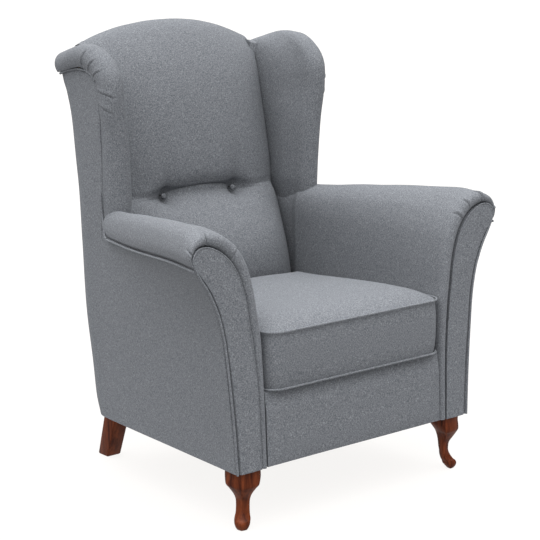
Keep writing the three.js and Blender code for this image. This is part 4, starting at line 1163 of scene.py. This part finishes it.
both_sides(arm_pad(), "arm_pad")
both_sides(arm_facing(), "arm_facing")
both_sides(facing_piping(), "facing_piping")
both_sides(arm_piping(), "arm_piping")
lower, upper = side_cover()
both_sides(lower, "side_panel")
both_sides(upper, "side_panel")
both_sides(shoulder(), "side_panel")
both_wings()
both_sides(wing_piping(), "wing_piping")
place_on(outside_back(), ["outside_back"])
place_on(back_stuffing(), ["back_cushion"])
for side, word in ((1, "left"), (-1, "right")):
    place_on(button(side), [f"{word}_back_button"])
place_on(apron(), ["front_apron"])
place_on(seat_cushion(), ["seat_cushion"], body="loose_cushion")
for word, z in (("top", TOP_SEAM), ("bottom", BOTTOM_SEAM)):
    place_on(cushion_piping(z, f"cushion_{word}_cord"), [f"seat_cushion_{word}_piping"], body="loose_cushion")
both_sides(front_leg(), "front_leg")
both_sides(rear_leg(), "rear_leg")

# The solids that stay in sight or inside get their materials
by_slot = {"beech": BEECH, "steel": STEEL, "lining": LINING}
for part in frame["record"]["subparts"]:
    material = by_slot.get(part["material_slot"])
    if material:
        slots = frame["nodes"][part["node"]].data.materials
        slots.clear()
        slots.append(material)


# Floor, light and camera

FLOOR_REACH = 60.0
FLOOR_GAP = 0.0003
# Way to the middle of the overhead light, its strength, and the power of the cosine that it fades by
OVERHEAD = (-0.1, -0.05, 1.0)
OVERHEAD_STRENGTH = 7.7
OVERHEAD_POWER = 2.0
# Sines of the elevation up to which the world is white behind the floor, and where that has faded out
HORIZON_TOP = 0.165
HORIZON_END = 1.4 * HORIZON_TOP
# Camera at the photograph's view: degrees, metres, and millimetres for the lens and its sensor
AZIMUTH, ELEVATION, DISTANCE = -40, 12.1, 3.883
TARGET = (0, FRONT_Y + 0.311, 0.480)
LENS, SENSOR = 110.38, 36.0


def make_floor():
    mesh = bpy.data.meshes.new("floor")
    mesh.from_pydata([(x * FLOOR_REACH, y * FLOOR_REACH, 0) for x, y in SQUARE], [], [(0, 1, 2, 3)])
    floor = scene_object("floor", mesh)
    floor.location.z = FLOOR_Z - FLOOR_GAP
    settings = {"Base Color": (0.05, 0.05, 0.05, 1), "Emission Color": (1.0, 0.985, 0.97, 1),
                "Emission Strength": 0.9, "Roughness": 0.9, "Specular IOR Level": 0.1}
    floor.data.materials.append(Finish("pale_floor").shaded(settings, {}))
    floor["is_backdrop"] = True


def make_camera():
    azimuth, elevation = math.radians(AZIMUTH), math.radians(ELEVATION)
    back = Vector((math.sin(azimuth) * math.cos(elevation), -math.cos(azimuth) * math.cos(elevation),
                   math.sin(elevation)))
    camera = scene_object("camera", bpy.data.cameras.new("camera"))
    camera.data.sensor_width = SENSOR
    camera.data.lens = LENS
    camera.location = Vector(TARGET) + back * DISTANCE
    camera.rotation_euler = (-back).to_track_quat("-Z", "Y").to_euler()
    bpy.context.scene.camera = camera


def make_world():
    """Soft studio light by a power of the cosine from its middle, over a white band along the horizon."""
    world = bpy.data.worlds.new("studio")
    sky = Tree(world)
    direction = sky.add("TexCoord", "Generated", {}, {})
    middle = Vector(OVERHEAD).normalized()
    light = sky.add("VectorMath", "Value", {1: middle}, {0: direction}, operation="DOT_PRODUCT")
    for operation, value in (("MAXIMUM", 0.0), ("POWER", OVERHEAD_POWER), ("MULTIPLY", OVERHEAD_STRENGTH)):
        light = sky.add("Math", "Value", {1: value}, {0: light}, operation=operation)
    height = sky.add("SeparateXYZ", "Z", {}, {"Vector": direction})
    ends = {"From Min": HORIZON_TOP, "From Max": HORIZON_END, "To Min": 1.0, "To Max": 0.0}
    band = sky.add("MapRange", "Result", ends, {"Value": height}, interpolation_type="SMOOTHSTEP")
    both = sky.add("Math", "Value", {}, {0: light, 1: band}, operation="ADD")
    sky.connect(sky.nodes["Background"], {"Color": (1.0, 0.995, 0.985, 1)}, {"Strength": both})
    bpy.context.scene.world = world
    bpy.context.scene.view_settings.view_transform = "Standard"


make_floor()
make_world()
make_camera()

{"cad": cad_bounds, "visual": [list(corner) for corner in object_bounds()]}
